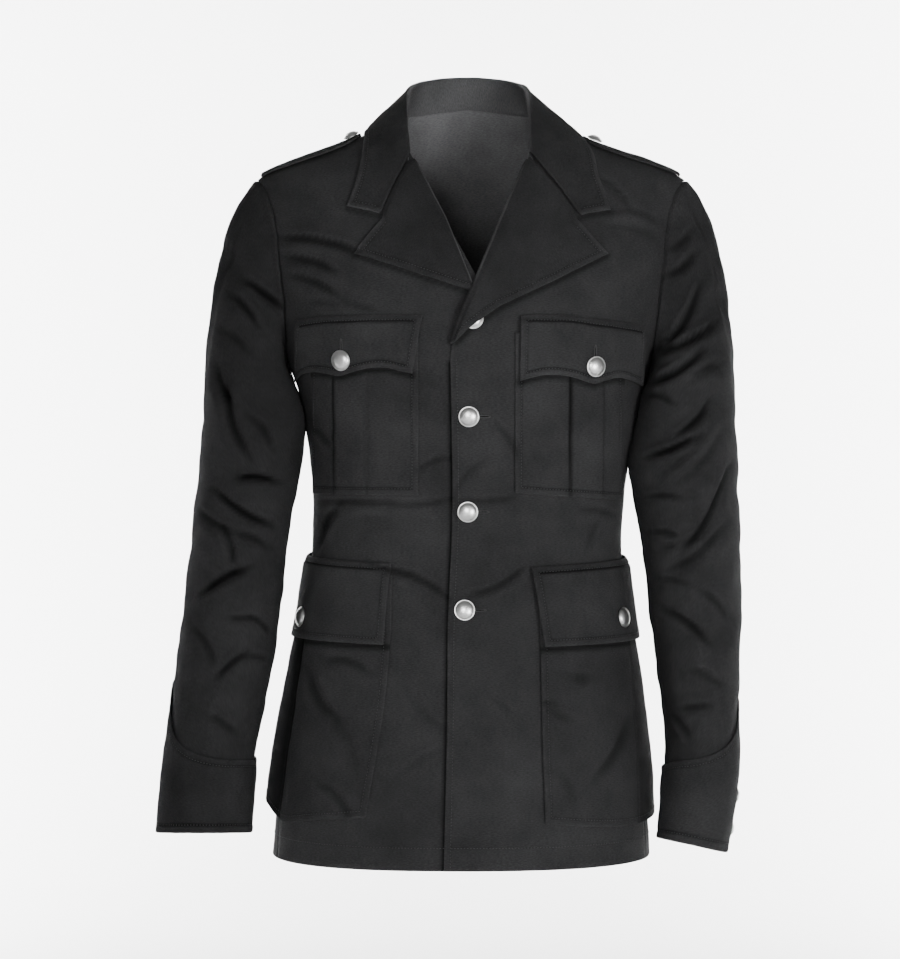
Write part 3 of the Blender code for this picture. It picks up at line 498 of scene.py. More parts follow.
def curve(points, shares, weights=1.0):
    """Points at shares of the length of a smooth line through the table's rows."""
    points = points * weights
    keys = np.arange(len(points), dtype=float)
    fine = np.linspace(0, len(points) - 1, 24 * len(points))
    line = np.stack([smooth_table(fine, keys, points[:, k]) for k in range(points.shape[1])], -1)
    return along(line, shares) / weights


def refine(grid, rows, columns):
    """Smooth resampling of a net of points at fractional row and column numbers."""
    for axis, where in ((0, rows), (1, columns)):
        net = np.moveaxis(grid, axis, 0)
        slopes = np.gradient(net, axis=0)
        cell = np.clip(np.floor(where).astype(int), 0, len(net) - 2)
        t = (where - cell)[:, None, None]
        net = cubic(t, net[cell], net[cell + 1], slopes[cell], slopes[cell + 1])
        grid = np.moveaxis(net, 0, axis)
    return grid


def shares(length, stitched="both"):
    """Shares of a width about one grid step apart, close together at a rounded, stitched edge."""
    near = np.array([0, 0.3, 0.8, 1.5, 2.8, 4.4, 5.6, 6.4, 7.2, 8.6])
    low = near if stitched in ("both", "start") else np.array([0.0])
    high = length - (near if stitched in ("both", "end") else np.array([0.0]))[::-1]
    count = max(2, int(round((high[0] - low[-1]) / GRID)))
    middle = np.linspace(low[-1], high[0], count + 1)[1:-1]
    return np.concatenate([low, middle, high]) / length


def ring_sizes(z):
    """Half width, front depth, back depth and centre x of the body's level ring at z."""
    return [smooth_table(z, BODY[:, 0], BODY[:, k]) for k in range(1, 5)]


def body_form(angle, z):
    """Level ring at z: a superellipse with its own front and back depth, angle 0 in front."""
    angle, z = np.broadcast_arrays(np.asarray(angle, float), np.asarray(z, float))
    half, front, back, centre = ring_sizes(z)
    turn = np.radians(angle)
    depth = np.where(np.cos(turn) > 0, front, back)
    across = np.abs(np.sin(turn) / half) ** SHAPE
    forward = np.abs(np.cos(turn) / depth) ** SHAPE
    radius = (across + forward) ** (-1 / SHAPE)
    return np.stack([centre + radius * np.sin(turn), -radius * np.cos(turn), z], axis=-1)


def line_distance(flat, start, end):
    """Distance of places in the front view from a straight line between two of them."""
    run = end - start
    share = np.clip(((flat - start) @ run) / (run @ run), 0, 1)
    return np.linalg.norm(flat - start - share[..., None] * run, axis=-1)


def facing(normals, side):
    """How far the cloth faces the front, side 1, or the back, side -1, from 0 to 1."""
    return np.clip(-side * normals[..., 1] * 2, 0, 1)


def folds(points, normals, table):
    """Depth of wide straight troughs laid out in the front view, each fading out."""
    depth = np.zeros(points.shape[:-1])
    for x0, z0, x1, z1, width, amount, side in table:
        away = line_distance(points[..., [0, 2]], np.array([x0, z0]), np.array([x1, z1]))
        depth += amount * np.exp(-(away / width) ** 2) * facing(normals, side)
    return depth


def creases(points, normals, table):
    """Depth of bowed creases: a trough between two soft ridges, tapering off past its ends."""
    depth = np.zeros(points.shape[:-1])
    for x0, z0, x1, z1, bow, width, amount, side in table:
        run = np.array([x1 - x0, z1 - z0], float)
        length = np.hypot(*run)
        flat = points[..., [0, 2]] - (x0, z0)
        t = (flat @ run) / length ** 2
        inside = np.clip(t, 0, 1)
        across = (flat[..., 1] * run[0] - flat[..., 0] * run[1]) / length
        across = across - bow * 4 * inside * (1 - inside)
        past = np.maximum(np.maximum(-t, t - 1), 0) * length
        fade = np.exp(-(past / (1.5 * width)) ** 2) * (1 - 0.55 * (2 * inside - 1) ** 4)
        steep = np.maximum(width * np.where(across > 0, 0.5, 0.95), 3.3)
        trough = np.exp(-(across / steep) ** 2)
        trough = trough - 0.45 * np.exp(-((np.abs(across) - 1.8 * steep) / steep) ** 2)
        depth += amount * trough * fade * facing(normals, side)
    return depth


def ripple(points, size):
    """Slow unevenness of worn cloth, from a few waves of unlike lengths."""
    x, y, z = points[..., 0], points[..., 1], points[..., 2]
    wave = np.sin(0.061 * x + 0.083 * z + 0.4) + np.sin(0.112 * z - 0.047 * x + 1.9)
    wave = wave + 0.7 * np.sin(0.171 * x + 0.052 * y - 0.094 * z + 0.8)
    wave = wave + 0.6 * np.sin(0.127 * y + 0.205 * z - 0.033 * x) + 0.4 * np.sin(0.29 * x + 0.23 * z)
    return size * wave / 3


def unit(vectors):
    """Vectors divided by their own length."""
    return vectors / np.maximum(np.linalg.norm(vectors, axis=-1, keepdims=True), 1e-9)


def body_surface(angle, z):
    """The creased body form and its normal."""
    here = body_form(angle, z)
    round_it = body_form(np.add(angle, 1.0), z) - body_form(np.subtract(angle, 1.0), z)
    up_it = body_form(angle, np.add(z, 1.5)) - body_form(angle, np.subtract(z, 1.5))
    normal = unit(np.cross(round_it, up_it))
    depth = folds(here, normal, BODY_FOLDS) + 1.4 * creases(here, normal, BODY_CREASES)
    return here + (ripple(here, 0.5) - depth)[..., None] * normal, normal


def body_point(angle, z, out=0.0):
    """Point of the creased body, moved out along its normal."""
    here, normal = body_surface(angle, z)
    return here + np.asarray(out)[..., None] * normal


def angle_at(x, z):
    """Ring angle of the front point that is seen at x."""
    half, front, _, centre = ring_sizes(np.asarray(z, float))
    share = np.clip(np.abs(x - centre) / half, 0, 1)
    forward = front * (1 - share ** SHAPE) ** (1 / SHAPE)
    return np.degrees(np.arctan2(x - centre, forward))


def angle_after(start, z, distance):
    """Ring angles at distances round the ring, away from the front centre line."""
    start, z, distance = np.broadcast_arrays(start, z, distance)
    angles = start[..., None] + np.sign(start)[..., None] * np.linspace(0, 140, 141)
    line = body_form(angles, z[..., None])
    steps = np.linalg.norm(np.diff(line, axis=-2), axis=-1)
    gone = np.concatenate([np.zeros(steps.shape[:-1] + (1,)), np.cumsum(steps, axis=-1)], axis=-1)
    cell = np.clip((gone < distance[..., None]).sum(axis=-1), 1, 140)
    low = np.take_along_axis(gone, cell[..., None] - 1, -1)[..., 0]
    high = np.take_along_axis(gone, cell[..., None], -1)[..., 0]
    part = np.clip((distance - low) / (high - low), 0, 1)
    return start + np.sign(start) * (cell - 1 + part)


def patch_grid(bottom, top, left, right, u=None, v=None):
    """Four-sided patch between edge lines, the shares blended both ways."""
    v = (np.linspace(0, 1, len(left)) if v is None else v)[:, None, None]
    u = (np.linspace(0, 1, len(bottom)) if u is None else u)[None, :, None]
    corners = ((1 - u) * (1 - v) * bottom[0] + u * (1 - v) * bottom[-1]
               + (1 - u) * v * top[0] + u * v * top[-1])
    return ((1 - v) * bottom[None] + v * top[None] + (1 - u) * left[:, None]
            + u * right[:, None] - corners)


def edge_angles(points):
    """Ring angle and height of places given by x and z in the front view."""
    return np.stack([angle_at(points[:, 0], points[:, 1]), points[:, 1]], axis=-1)


def reach(points, axis):
    """Distance gone along a grid's rows or columns."""
    steps = np.linalg.norm(np.diff(points, axis=axis), axis=-1)
    nought = np.zeros_like(np.take(steps, [0], axis=axis))
    return np.concatenate([nought, np.cumsum(steps, axis=axis)], axis=axis)


def border_distance(points, borders):
    """Distance from the nearest of the named borders: b first row, t last, l first column, r last."""
    edge = np.full(points.shape[:2], 60.0)
    for axis, first, last in ((0, "b", "t"), (1, "l", "r")):
        gone = reach(points, axis)
        whole = np.take(gone, [-1], axis=axis)
        if first in borders.lower():
            edge = np.minimum(edge, gone)
        if last in borders.lower():
            edge = np.minimum(edge, whole - gone)
    return edge


# Meshes and materials
def new_material(name):
    """New material and its shader."""
    made = bpy.data.materials.new(name)
    made.use_nodes = True
    return made, made.node_tree.nodes["Principled BSDF"]


def material(name, kind):
    """Material of one piece: the finish's group feeds the shader, which holds the plain values."""
    made, shader = new_material(name)
    group = made.node_tree.nodes.new("ShaderNodeGroup")
    group.node_tree = kind
    if kind is TWILL:
        shader.inputs["Sheen Weight"].default_value = 0.01
        shader.inputs["Sheen Roughness"].default_value = 0.4
        shader.inputs["Specular IOR Level"].default_value = 0.04
    if kind is SATIN:
        shader.inputs["Metallic"].default_value = 1.0
    for output in group.outputs:
        made.node_tree.links.new(output, shader.inputs[output.name])
    return made


def new_group(name):
    """Shader node group of a finish; gives its tree, makers of nodes and sums, and its end."""
    tree = bpy.data.node_groups.new(name, "ShaderNodeTree")
    for output, kind in (("Base Color", "Color"), ("Roughness", "Float"), ("Normal", "Vector")):
        tree.interface.new_socket(name=output, in_out="OUTPUT", socket_type="NodeSocket" + kind)
    last = tree.nodes.new("NodeGroupOutput")

    def node(kind, settings=None, **inputs):
        """Node of a kind; each input, by its name or as i and its number, is a value or an output."""
        made = tree.nodes.new("ShaderNode" + kind)
        for key, value in (settings or {}).items():
            setattr(made, key, value)
        for key, value in inputs.items():
            socket = made.inputs[int(key[1:])] if key[0] == "i" and key[1:].isdigit() else \
                made.inputs[key.replace("_", " ")]
            if isinstance(value, bpy.types.NodeSocket):
                tree.links.new(value, socket)
            else:
                socket.default_value = value
        return made

    def math(operation, a, b=0.0, c=None):
        """Output of a sum with two or three terms."""
        values = dict(i0=a, i1=b)
        if c is not None:
            values["i2"] = c
        return node("Math", dict(operation=operation), **values).outputs[0]

    def end(base, tone, rough, bump):
        """Ends the group: base colour times tone, roughness, and the bump's normal."""
        colour = node("VectorMath", dict(operation="SCALE"), i0=base, Scale=tone)
        for socket, output in zip(last.inputs, (colour.outputs[0], rough, bump.outputs[0])):
            tree.links.new(output, socket)
        return tree

    return node, math, end


def twill_group():
    """Dark cotton twill: fine slanting ribs, slubs, a mottled worn tone, paler rubbed edges."""
    node, math, end = new_group("twill")
    grain = node("UVMap", dict(uv_map="grain")).outputs["UV"]
    place = node("TexCoord").outputs["Object"]
    edge = node("Attribute", dict(attribute_name="edge")).outputs["Fac"]
    shade = node("Attribute", dict(attribute_name="shade")).outputs["Fac"]
    parts = node("SeparateXYZ", Vector=grain)
    slant = math("MULTIPLY_ADD", parts.outputs["Y"], 1.35, parts.outputs["X"])
    rib = math("SINE", math("MULTIPLY", slant, 5.2))
    pick = math("SINE", math("MULTIPLY", math("SUBTRACT", parts.outputs["Y"], parts.outputs["X"]), 9.0))
    slub = node("TexNoise", Vector=node("Mapping", Vector=grain, Scale=(0.34, 1.1, 1.0)).outputs[0],
                Scale=1.0, Detail=4.0, Roughness=0.65).outputs["Fac"]
    mottle = node("TexNoise", Vector=place, Scale=21.0, Detail=5.0, Roughness=0.6).outputs["Fac"]
    cloud = node("TexNoise", Vector=place, Scale=7.0, Detail=2.0, Roughness=0.5).outputs["Fac"]
    tone = math("MULTIPLY_ADD", mottle, 0.9, 0.55)
    tone = math("MULTIPLY", tone, math("MULTIPLY_ADD", cloud, 0.5, 0.75))
    tone = math("MULTIPLY", tone, math("MULTIPLY_ADD", slub, 1.5, 0.25))
    tone = math("MULTIPLY", tone, math("MULTIPLY_ADD", rib, 0.07, 1.0))
    rubbed = math("MULTIPLY", math("EXPONENT", math("MULTIPLY", edge, -1.1)), 0.32)
    tone = math("MULTIPLY", tone, math("MULTIPLY_ADD", rubbed, math("MULTIPLY", mottle, 2.0), 1.0))
    # Painted shade and light: the shade attribute darkens the tone in seams, crease troughs and under edges,
    # lightens it where below nought, and roughens the cloth
    tone = math("MULTIPLY", tone, math("MULTIPLY_ADD", shade, -0.85, 1.0))
    rough = math("MULTIPLY_ADD", slub, -0.3, 1.08)
    rough = math("MULTIPLY_ADD", mottle, -0.12, rough)
    rough = math("MAXIMUM", math("MULTIPLY_ADD", shade, 0.38, rough), 0.5)
    height = math("ADD", math("MULTIPLY", rib, 0.5), math("MULTIPLY", pick, 0.2))
    height = math("MULTIPLY_ADD", slub, 0.8, height)
    fine = node("Bump", Height=height, Strength=0.6, Distance=0.0004)
    pucker = node("TexNoise", Vector=place, Scale=190.0, Detail=2.0, Roughness=0.5).outputs["Fac"]
    near = math("EXPONENT", math("MULTIPLY", math("ABSOLUTE", math("SUBTRACT", edge, 5.0)), -0.28))
    puckered = math("MULTIPLY", pucker, near)
    worn = math("MULTIPLY_ADD", mottle, 0.22, puckered)
    bump = node("Bump", Height=worn, Strength=0.5, Distance=0.0016, Normal=fine.outputs[0])
    return end(CLOTH_COLOUR, tone, rough, bump)


def thread_group():
    """Dark sewing thread, slightly flecked."""
    node, math, end = new_group("thread")
    place = node("TexCoord").outputs["Object"]
    fleck = node("TexNoise", Vector=place, Scale=900.0, Detail=2.0).outputs["Fac"]
    tone = math("MULTIPLY_ADD", fleck, 0.7, 0.65)
    bump = node("Bump", Height=fleck, Strength=0.4, Distance=0.0002)
    return end(THREAD_COLOUR, tone, math("MULTIPLY_ADD", fleck, 0.1, 0.6), bump)


def satin_group():
    """Satin silver metal: fine brushing, duller towards the rim."""
    node, math, end = new_group("satin")
    place = node("TexCoord").outputs["Object"]
    rim = node("Attribute", dict(attribute_name="edge")).outputs["Fac"]
    brushed = node("Mapping", Vector=place, Scale=(260.0, 260.0, 2400.0)).outputs[0]
    lines = node("TexNoise", Vector=brushed, Scale=1.0, Detail=3.0, Roughness=0.6).outputs["Fac"]
    worn = node("TexNoise", Vector=place, Scale=420.0, Detail=3.0).outputs["Fac"]
    tone = math("MULTIPLY_ADD", worn, 0.16, 0.9)
    dull = math("MULTIPLY_ADD", math("POWER", rim, 6.0), -0.3, 1.0)
    rough = math("ADD", math("MULTIPLY_ADD", lines, 0.14, 0.24), math("MULTIPLY", worn, 0.08))
    bump = node("Bump", Height=lines, Strength=0.25, Distance=0.0001)
    return end(METAL_COLOUR, math("MULTIPLY", tone, dull), rough, bump)


CLOTH_COLOUR = (0.036, 0.036, 0.037)
THREAD_COLOUR = (0.03, 0.03, 0.031)
METAL_COLOUR = (0.86, 0.86, 0.85)
TWILL = twill_group()
THREAD = thread_group()
SATIN = satin_group()


def mesh_object(name, points, faces, kind, edge=None, grain=None, nodes=(), shade=None):
    """Object at the origin from points in millimetres, riding on the one body."""
    points = points.reshape(-1, 3) * MM
    mesh = bpy.data.meshes.new(name)
    corners = faces.shape[1]
    mesh.vertices.add(len(points))
    mesh.vertices.foreach_set("co", points.ravel())
    mesh.loops.add(faces.size)
    mesh.loops.foreach_set("vertex_index", faces.ravel().astype(np.int32))
    mesh.polygons.add(len(faces))
    mesh.polygons.foreach_set("loop_start", np.arange(0, faces.size, corners, dtype=np.int32))
    mesh.update(calc_edges=True)
    mesh.shade_smooth()
    for attribute_name, values in (("edge", edge), ("shade", shade)):
        if values is not None:
            attribute = mesh.attributes.new(attribute_name, "FLOAT", "POINT")
            attribute.data.foreach_set("value", np.asarray(values, np.float32).ravel())
    if grain is not None:
        layer_uv = mesh.uv_layers.new(name="grain")
        layer_uv.data.foreach_set("uv", np.asarray(grain, np.float32).ravel())
    made = bpy.data.objects.new(name, mesh)
    bpy.context.scene.collection.objects.link(made)
    mesh.materials.append(material(name, kind))
    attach(made, "root")
    if nodes:
        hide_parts(*nodes)


def shell(node, outer, inner, edge, shade=None, tube=False, inside=None):
    """Cloth between an outer and an inner grid, with its grain in millimetres as UV.

    Shade is painted shade from 0 to 1 in seams and folds, and painted light where it is below
    nought; inside gives it for the inner face where that differs.
    """
    rows, columns = outer.shape[:2]
    number = np.arange(rows * columns).reshape(rows, columns)
    wide = outer
    if tube:
        number = np.concatenate([number, number[:, :1]], axis=1)
        wide = np.concatenate([outer, outer[:, :1]], axis=1)
    grain = np.stack([reach(wide, 1), -reach(wide, 0)], axis=-1)
    width = number.shape[1]
    cell = np.arange(rows * width).reshape(rows, width)
    deeper = rows * columns

    def quads(grid):
        """The four corners of each cell of a grid."""
        return np.stack([grid[:-1, :-1], grid[:-1, 1:], grid[1:, 1:], grid[1:, :-1]], -1).reshape(-1, 4)

    def rim(line):
        """The four corners of each cell between the two faces along a border."""
        first, second = line[:-1], line[1:]
        return np.stack([first, second, second, first], -1)

    at = [quads(cell), quads(cell)[:, ::-1]]
    deep = [np.zeros(at[0].shape, bool), np.ones(at[1].shape, bool)]
    borders = [cell[0][::-1], cell[-1]]
    if not tube:
        borders += [cell[:, 0], cell[:, -1][::-1]]
    for line in borders:
        at.append(rim(line))
        deep.append(np.broadcast_to((False, False, True, True), at[-1].shape))
    at, deep = np.concatenate(at), np.concatenate(deep)
    faces = number.ravel()[at] + deeper * deep
    points = np.concatenate([outer.reshape(-1, 3), inner.reshape(-1, 3)])
    a, b, c, d = (points[faces[:, k]] for k in range(4))
    if np.sum(np.cross(a, b) * c) + np.sum(np.cross(a, c) * d) < 0:
        faces, at = faces[:, ::-1], at[:, ::-1]
    uv = grain.reshape(-1, 2)[at]
    # painted shade of the whole piece is added to the shade given for its places
    shade = PIECE_SHADE.get(node, 0.0) + (np.zeros(edge.shape) if shade is None else shade)
    both = np.stack([shade, shade if inside is None else inside])
    mesh_object(node + "_cloth", points, faces, TWILL, np.tile(edge.ravel(), 2), uv, (node,), both)


def cloth_shell(node, outer, normals, edge, draw, shade, **settings):
    """Cloth of even thickness behind a face, both sides drawn in at its rounded borders."""
    shell(node, outer - draw[..., None] * normals, outer - (CLOTH - draw)[..., None] * normals, edge,
          shade, **settings)


def turned(edge, wall):
    """How far either face draws in towards a rounded border."""
    return 0.47 * wall * (1 - np.sqrt(1 - (1 - np.clip(edge / (0.7 * wall), 0, 1)) ** 2))


def stitched_edge(points, edge, strength=0.3):
    """Height and groove at a distance from a stitched border: a low hem, a sunk seam, puckers."""
    x, y, z = points[..., 0], points[..., 1], points[..., 2]
    pucker = np.sin(0.47 * x + 0.41 * z + 0.9 * np.sin(0.05 * x)) * np.sin(0.33 * z - 0.2 * x + 0.1 * y)
    # The groove also gives the painted shade along the line of stitches.
    groove = strength * np.exp(-((edge - STITCH_IN) / 1.1) ** 2)
    height = 0.13 * np.exp(-((edge - 3.2) / 2.4) ** 2) - 0.5 * groove
    return height + 0.3 * pucker * np.exp(-((edge - 6.0) / 5.0) ** 2), groove


def hemmed(points, borders, strengths):
    """Height and groove along the borders named by capitals, each with its own strength of seam."""
    stitched = [b for b in borders if b.isupper()]
    if not stitched:
        return np.zeros(points.shape[:2]), np.zeros(points.shape[:2])
    away = np.stack([border_distance(points, b) for b in stitched])
    strength = np.array([strengths.get(b, 0.22) for b in stitched])[away.argmin(axis=0)]
    return stitched_edge(points, away.min(axis=0), strength)


def hollow(points, normals, *tables):
    """How far the troughs of the creases lie in shade, from 0 to 1."""
    depth = sum(creases(points, normals, table) for table in tables)
    return 0.9 * (1 - np.exp(-(np.clip(depth, 0, 9) / 1.9) ** 1.4))


def beneath(points, line, width=3.0):
    """Shade close to a line that is laid out in the front view, from 0 to 1."""
    flat = points[..., [0, 2]]
    away = np.full(flat.shape[:-1], 1e3)
    for start, end in zip(line[:-1], line[1:]):
        away = np.minimum(away, line_distance(flat, start, end))
    return np.exp(-(away / width) ** 2) * (points[..., 1] < 0)


def inset(grid, side, distance):
    """Line of the grid at a distance in from one border; the grid holds points and normals."""
    net = grid if side in "bt" else grid.transpose(1, 0, 2)
    if side in "tr":
        net = net[::-1]
    gone = reach(net[..., :3], 0)
    cell = np.clip((gone < distance).sum(axis=0), 1, len(net) - 1)
    column = np.arange(net.shape[1])
    part = ((distance - gone[cell - 1, column]) / (gone[cell, column] - gone[cell - 1, column]))[:, None]
    return net[cell - 1, column] * (1 - part) + net[cell, column] * part


def grid_normals(points):
    """Normals of a grid, square to its rows and columns."""
    return unit(np.cross(np.gradient(points, axis=1), np.gradient(points, axis=0)))


def tube_normals(points, rows=None):
    """Normals of a grid that goes all round, away from the middle of its first rows."""
    round_it = np.roll(points, -1, axis=1) - np.roll(points, 1, axis=1)
    normals = unit(np.cross(round_it, np.gradient(points, axis=0)))
    away = (points - points.mean(axis=1, keepdims=True))[:rows]
    return normals * np.sign(np.mean(np.sum(normals[:rows] * away, axis=-1)))


def cuff_height(letter, turn):
    """How high the cuff reaches above the sleeve's end at an angle round it."""
    return smooth_table(np.degrees(turn), CUFF_TOP[letter][:, 0], CUFF_TOP[letter][:, 1])


def sew(line, trim=(0.0, 0.0)):
    """Adds stitches along a line of points and normals, less the trimmed ends."""
    gone = reach(line[:, None, :3], 0)[:, 0]
    start, end = trim[0], gone[-1] - trim[1]
    count = int((end - start) / STITCH_PITCH)
    if count < 1:
        return
    middle = start + (np.arange(count) + 0.5) * (end - start) / count
    for offset in (-1.15, 0.0, 1.15):
        STITCHES.append(np.stack([np.interp(middle + offset, gone, line[:, k]) for k in range(6)], -1))


def sew_borders(outer, normals, borders, distance=STITCH_IN):
    """Stitches along each border named by a capital, meeting where two such borders meet."""
    grid = np.concatenate([outer, normals], axis=-1)
    neighbours = {"B": "LR", "T": "LR", "L": "BT", "R": "BT"}
    for side in borders:
        if side.isupper():
            trim = [distance if near in borders else 1.0 for near in neighbours[side]]
            line = inset(grid, side.lower(), distance)
            sew(line, trim)


def layer(node, angles, z, lift, wall, borders, own=None, dark=0.0, inside=None, **strengths):
    """Piece on the body form, its outer face at lift; capitals among the borders are stitched."""
    surface, normal = body_surface(angles, z)
    edge = border_distance(surface, borders)
    shift, seam = hemmed(surface, borders, strengths)
    tables = [BODY_CREASES]
    if own is not None:
        shift = shift - creases(surface, normal, own)
        tables.append(own)
    # Painted shade: seam grooves, crease troughs and the given dark marks darken the cloth.
    shade = np.clip(seam + hollow(surface, normal, *tables) + dark, 0, 1)
    draw = turned(edge, wall)
    outer = surface + (lift + shift - draw)[..., None] * normal
    inner = surface + (lift + shift - wall + draw)[..., None] * normal
    shell(node, outer, inner, edge, shade, inside=inside)
    sew_borders(outer, normal, borders)
    return outer, normal


# Panels
def armhole(table, side, share):
    """Ring angle and height at shares of the smooth line round one half of an armhole."""
    line = curve(table, share, np.array([1.0, 0.4]))
    return line * (side, 1.0)


def underlap(x):
    """How deep the wearer's right front lies under the left one, nought clear of the overlap."""
    return UNDERLAP * np.clip((x + 64) / 34, 0, 1)


def front_panel(letter):
    """Front: level rows up to the underarm, then a patch bounded by roll line and armhole."""
    side, edge, roll = SIDE[letter], EDGE[letter], ROLL[letter]
    share = shares(215.0, "start")
    low_z = HEM_Z + (UNDERARM_Z - HEM_Z) * shares(UNDERARM_Z - HEM_Z, "start")
    start = angle_at(smooth_table(low_z, edge[:, 1], edge[:, 0]), low_z)
    seam = side * (np.interp(low_z, SIDE_SEAM[:, 0], SIDE_SEAM[:, 1]) - SIDE_GAP)
    angles = start[:, None] + (seam - start)[:, None] * share
    low = np.stack([angles, np.broadcast_to(low_z[:, None], angles.shape)], axis=-1)
    high_share = np.linspace(0, 1, 74)
    neck = NECKLINE[(NECKLINE[:, 0] > 43) & (NECKLINE[:, 0] <= 90)] * (side, 1.0)
    inner_line = np.concatenate([edge_angles(along(roll, np.linspace(0, 1, 60))), neck])
    inner = along(inner_line * (1.6, 1.0), high_share) / (1.6, 1.0)
    outer = armhole(ARMHOLE_FRONT, side, 1 - high_share)
    outer[:, 0] -= side * SIDE_GAP
    inner[-1, 0] = outer[-1, 0] = side * (90 - SHOULDER_GAP)
    top = inner[-1] + (outer[-1] - inner[-1]) * share[:, None]
    high = patch_grid(low[-1], top, inner, outer, u=share)
    grid = np.concatenate([low, high[1:]])
    depth = np.zeros(grid.shape[:2])
    flat = body_form(grid[..., 0], grid[..., 1])
    # Painted shadow under the lapel's and collar's lower edges, and on the right front along the left
    # front's edge.
    dark = 0.65 * beneath(flat, LAPEL_LOW[letter] + (0, -1.5))
    dark = np.maximum(dark, 0.5 * beneath(flat, COLLAR_FRONT[letter][2:] + (0, -1.5)))
    if letter == "r":
        depth = underlap(flat[..., 0])
        over = np.interp(flat[..., 2], EDGE["l"][:, 1], EDGE["l"][:, 0])
        dark = dark + 0.9 * np.exp(-((flat[..., 0] - over) / 2.6) ** 2) * (flat[..., 2] < -250)
    face = layer("front_" + letter, grid[..., 0], grid[..., 1], -depth, CLOTH, "bl", dark=dark)
    both = np.concatenate(face, axis=-1)
    sew(inset(both, "b", HEM_STITCH_IN), (6.0, 0.0))
    if letter == "l":
        sew(inset(both[:len(low_z)], "l", STITCH_IN), (0.0, 2.0))


def back_panel():
    """Back in one piece: level rows, then a patch up to the shoulder seams and the neckline."""
    share = np.linspace(0, 1, 140)
    low_z = HEM_Z + (UNDERARM_Z - HEM_Z) * shares(UNDERARM_Z - HEM_Z, "start")
    seam = np.interp(low_z, SIDE_SEAM[:, 0], SIDE_SEAM[:, 1]) + SIDE_GAP
    angles = seam[:, None] + (360 - 2 * seam)[:, None] * share
    low = np.stack([angles, np.broadcast_to(low_z[:, None], angles.shape)], axis=-1)
    beyond = 90 + SHOULDER_GAP
    left = armhole(ARMHOLE_BACK, 1, 1 - np.linspace(0, 1, 74))
    left[:, 0] += SIDE_GAP
    left[-1, 0] = beyond
    right = left * (-1, 1) + (360, 0)
    shoulder = share[share < 0.27]
    inside = share[(share >= 0.27) & (share <= 0.73)]
    neck_angles = np.interp(inside, (inside[0], inside[-1]), (beyond, 360 - beyond))
    neck_z = smooth_table(np.minimum(neck_angles, 360 - neck_angles), NECKLINE[:, 0], NECKLINE[:, 1])
    seam_z = np.interp(shoulder, (0, inside[0]), (SHOULDER_TIP_Z, 0))
    at_seam = np.full(len(shoulder), beyond)
    top_angles = np.concatenate([at_seam, neck_angles, 360 - at_seam])
    top = np.stack([top_angles, np.concatenate([seam_z, neck_z, seam_z[::-1]])], axis=-1)
    high = patch_grid(low[-1], top, left, right)
    grid = np.concatenate([low, high[1:]])
    # The inner face inside the neck gets painted light.
    face = layer("back", grid[..., 0], grid[..., 1], 0.0, CLOTH, "b", inside=-neck_fill_light(grid[..., 1]))
    sew(inset(np.concatenate(face, axis=-1), "b", HEM_STITCH_IN))


# Sleeves
def off_body(points):
    """How far points lie outside the body's ring at their own height, towards its middle."""
    x, y = points[..., 0], points[..., 1]
    half, front, back, centre = ring_sizes(points[..., 2])
    depth = np.where(y < 0, front, back)
    share = (np.abs((x - centre) / half) ** SHAPE + np.abs(y / depth) ** SHAPE) ** (1 / SHAPE)
    return np.hypot(x - centre, y) * (1 - 1 / share)


def tube_point(table, turn, level, grow=0.0):
    """Point of a sleeve at an angle from its outer side over the front, tilted with the forearm."""
    outer, inner, middle_y, half_y, rise, drop = [
        smooth_table(level, -table[:, 0], table[:, k]) for k in range(1, 7)]
    middle_x = (outer + inner) / 2
    half_x = (outer - inner) / 2
    half_x = half_x + grow * np.sign(half_x)
    power = 2 / 2.15
    across = np.sign(np.cos(turn)) * np.abs(np.cos(turn)) ** power
    forward = np.sign(np.sin(turn)) * np.abs(np.sin(turn)) ** power
    y = middle_y - (half_y + grow) * forward
    x = middle_x + half_x * across
    return np.stack([x, y, -level - rise * (y - middle_y) - drop * across], axis=-1)


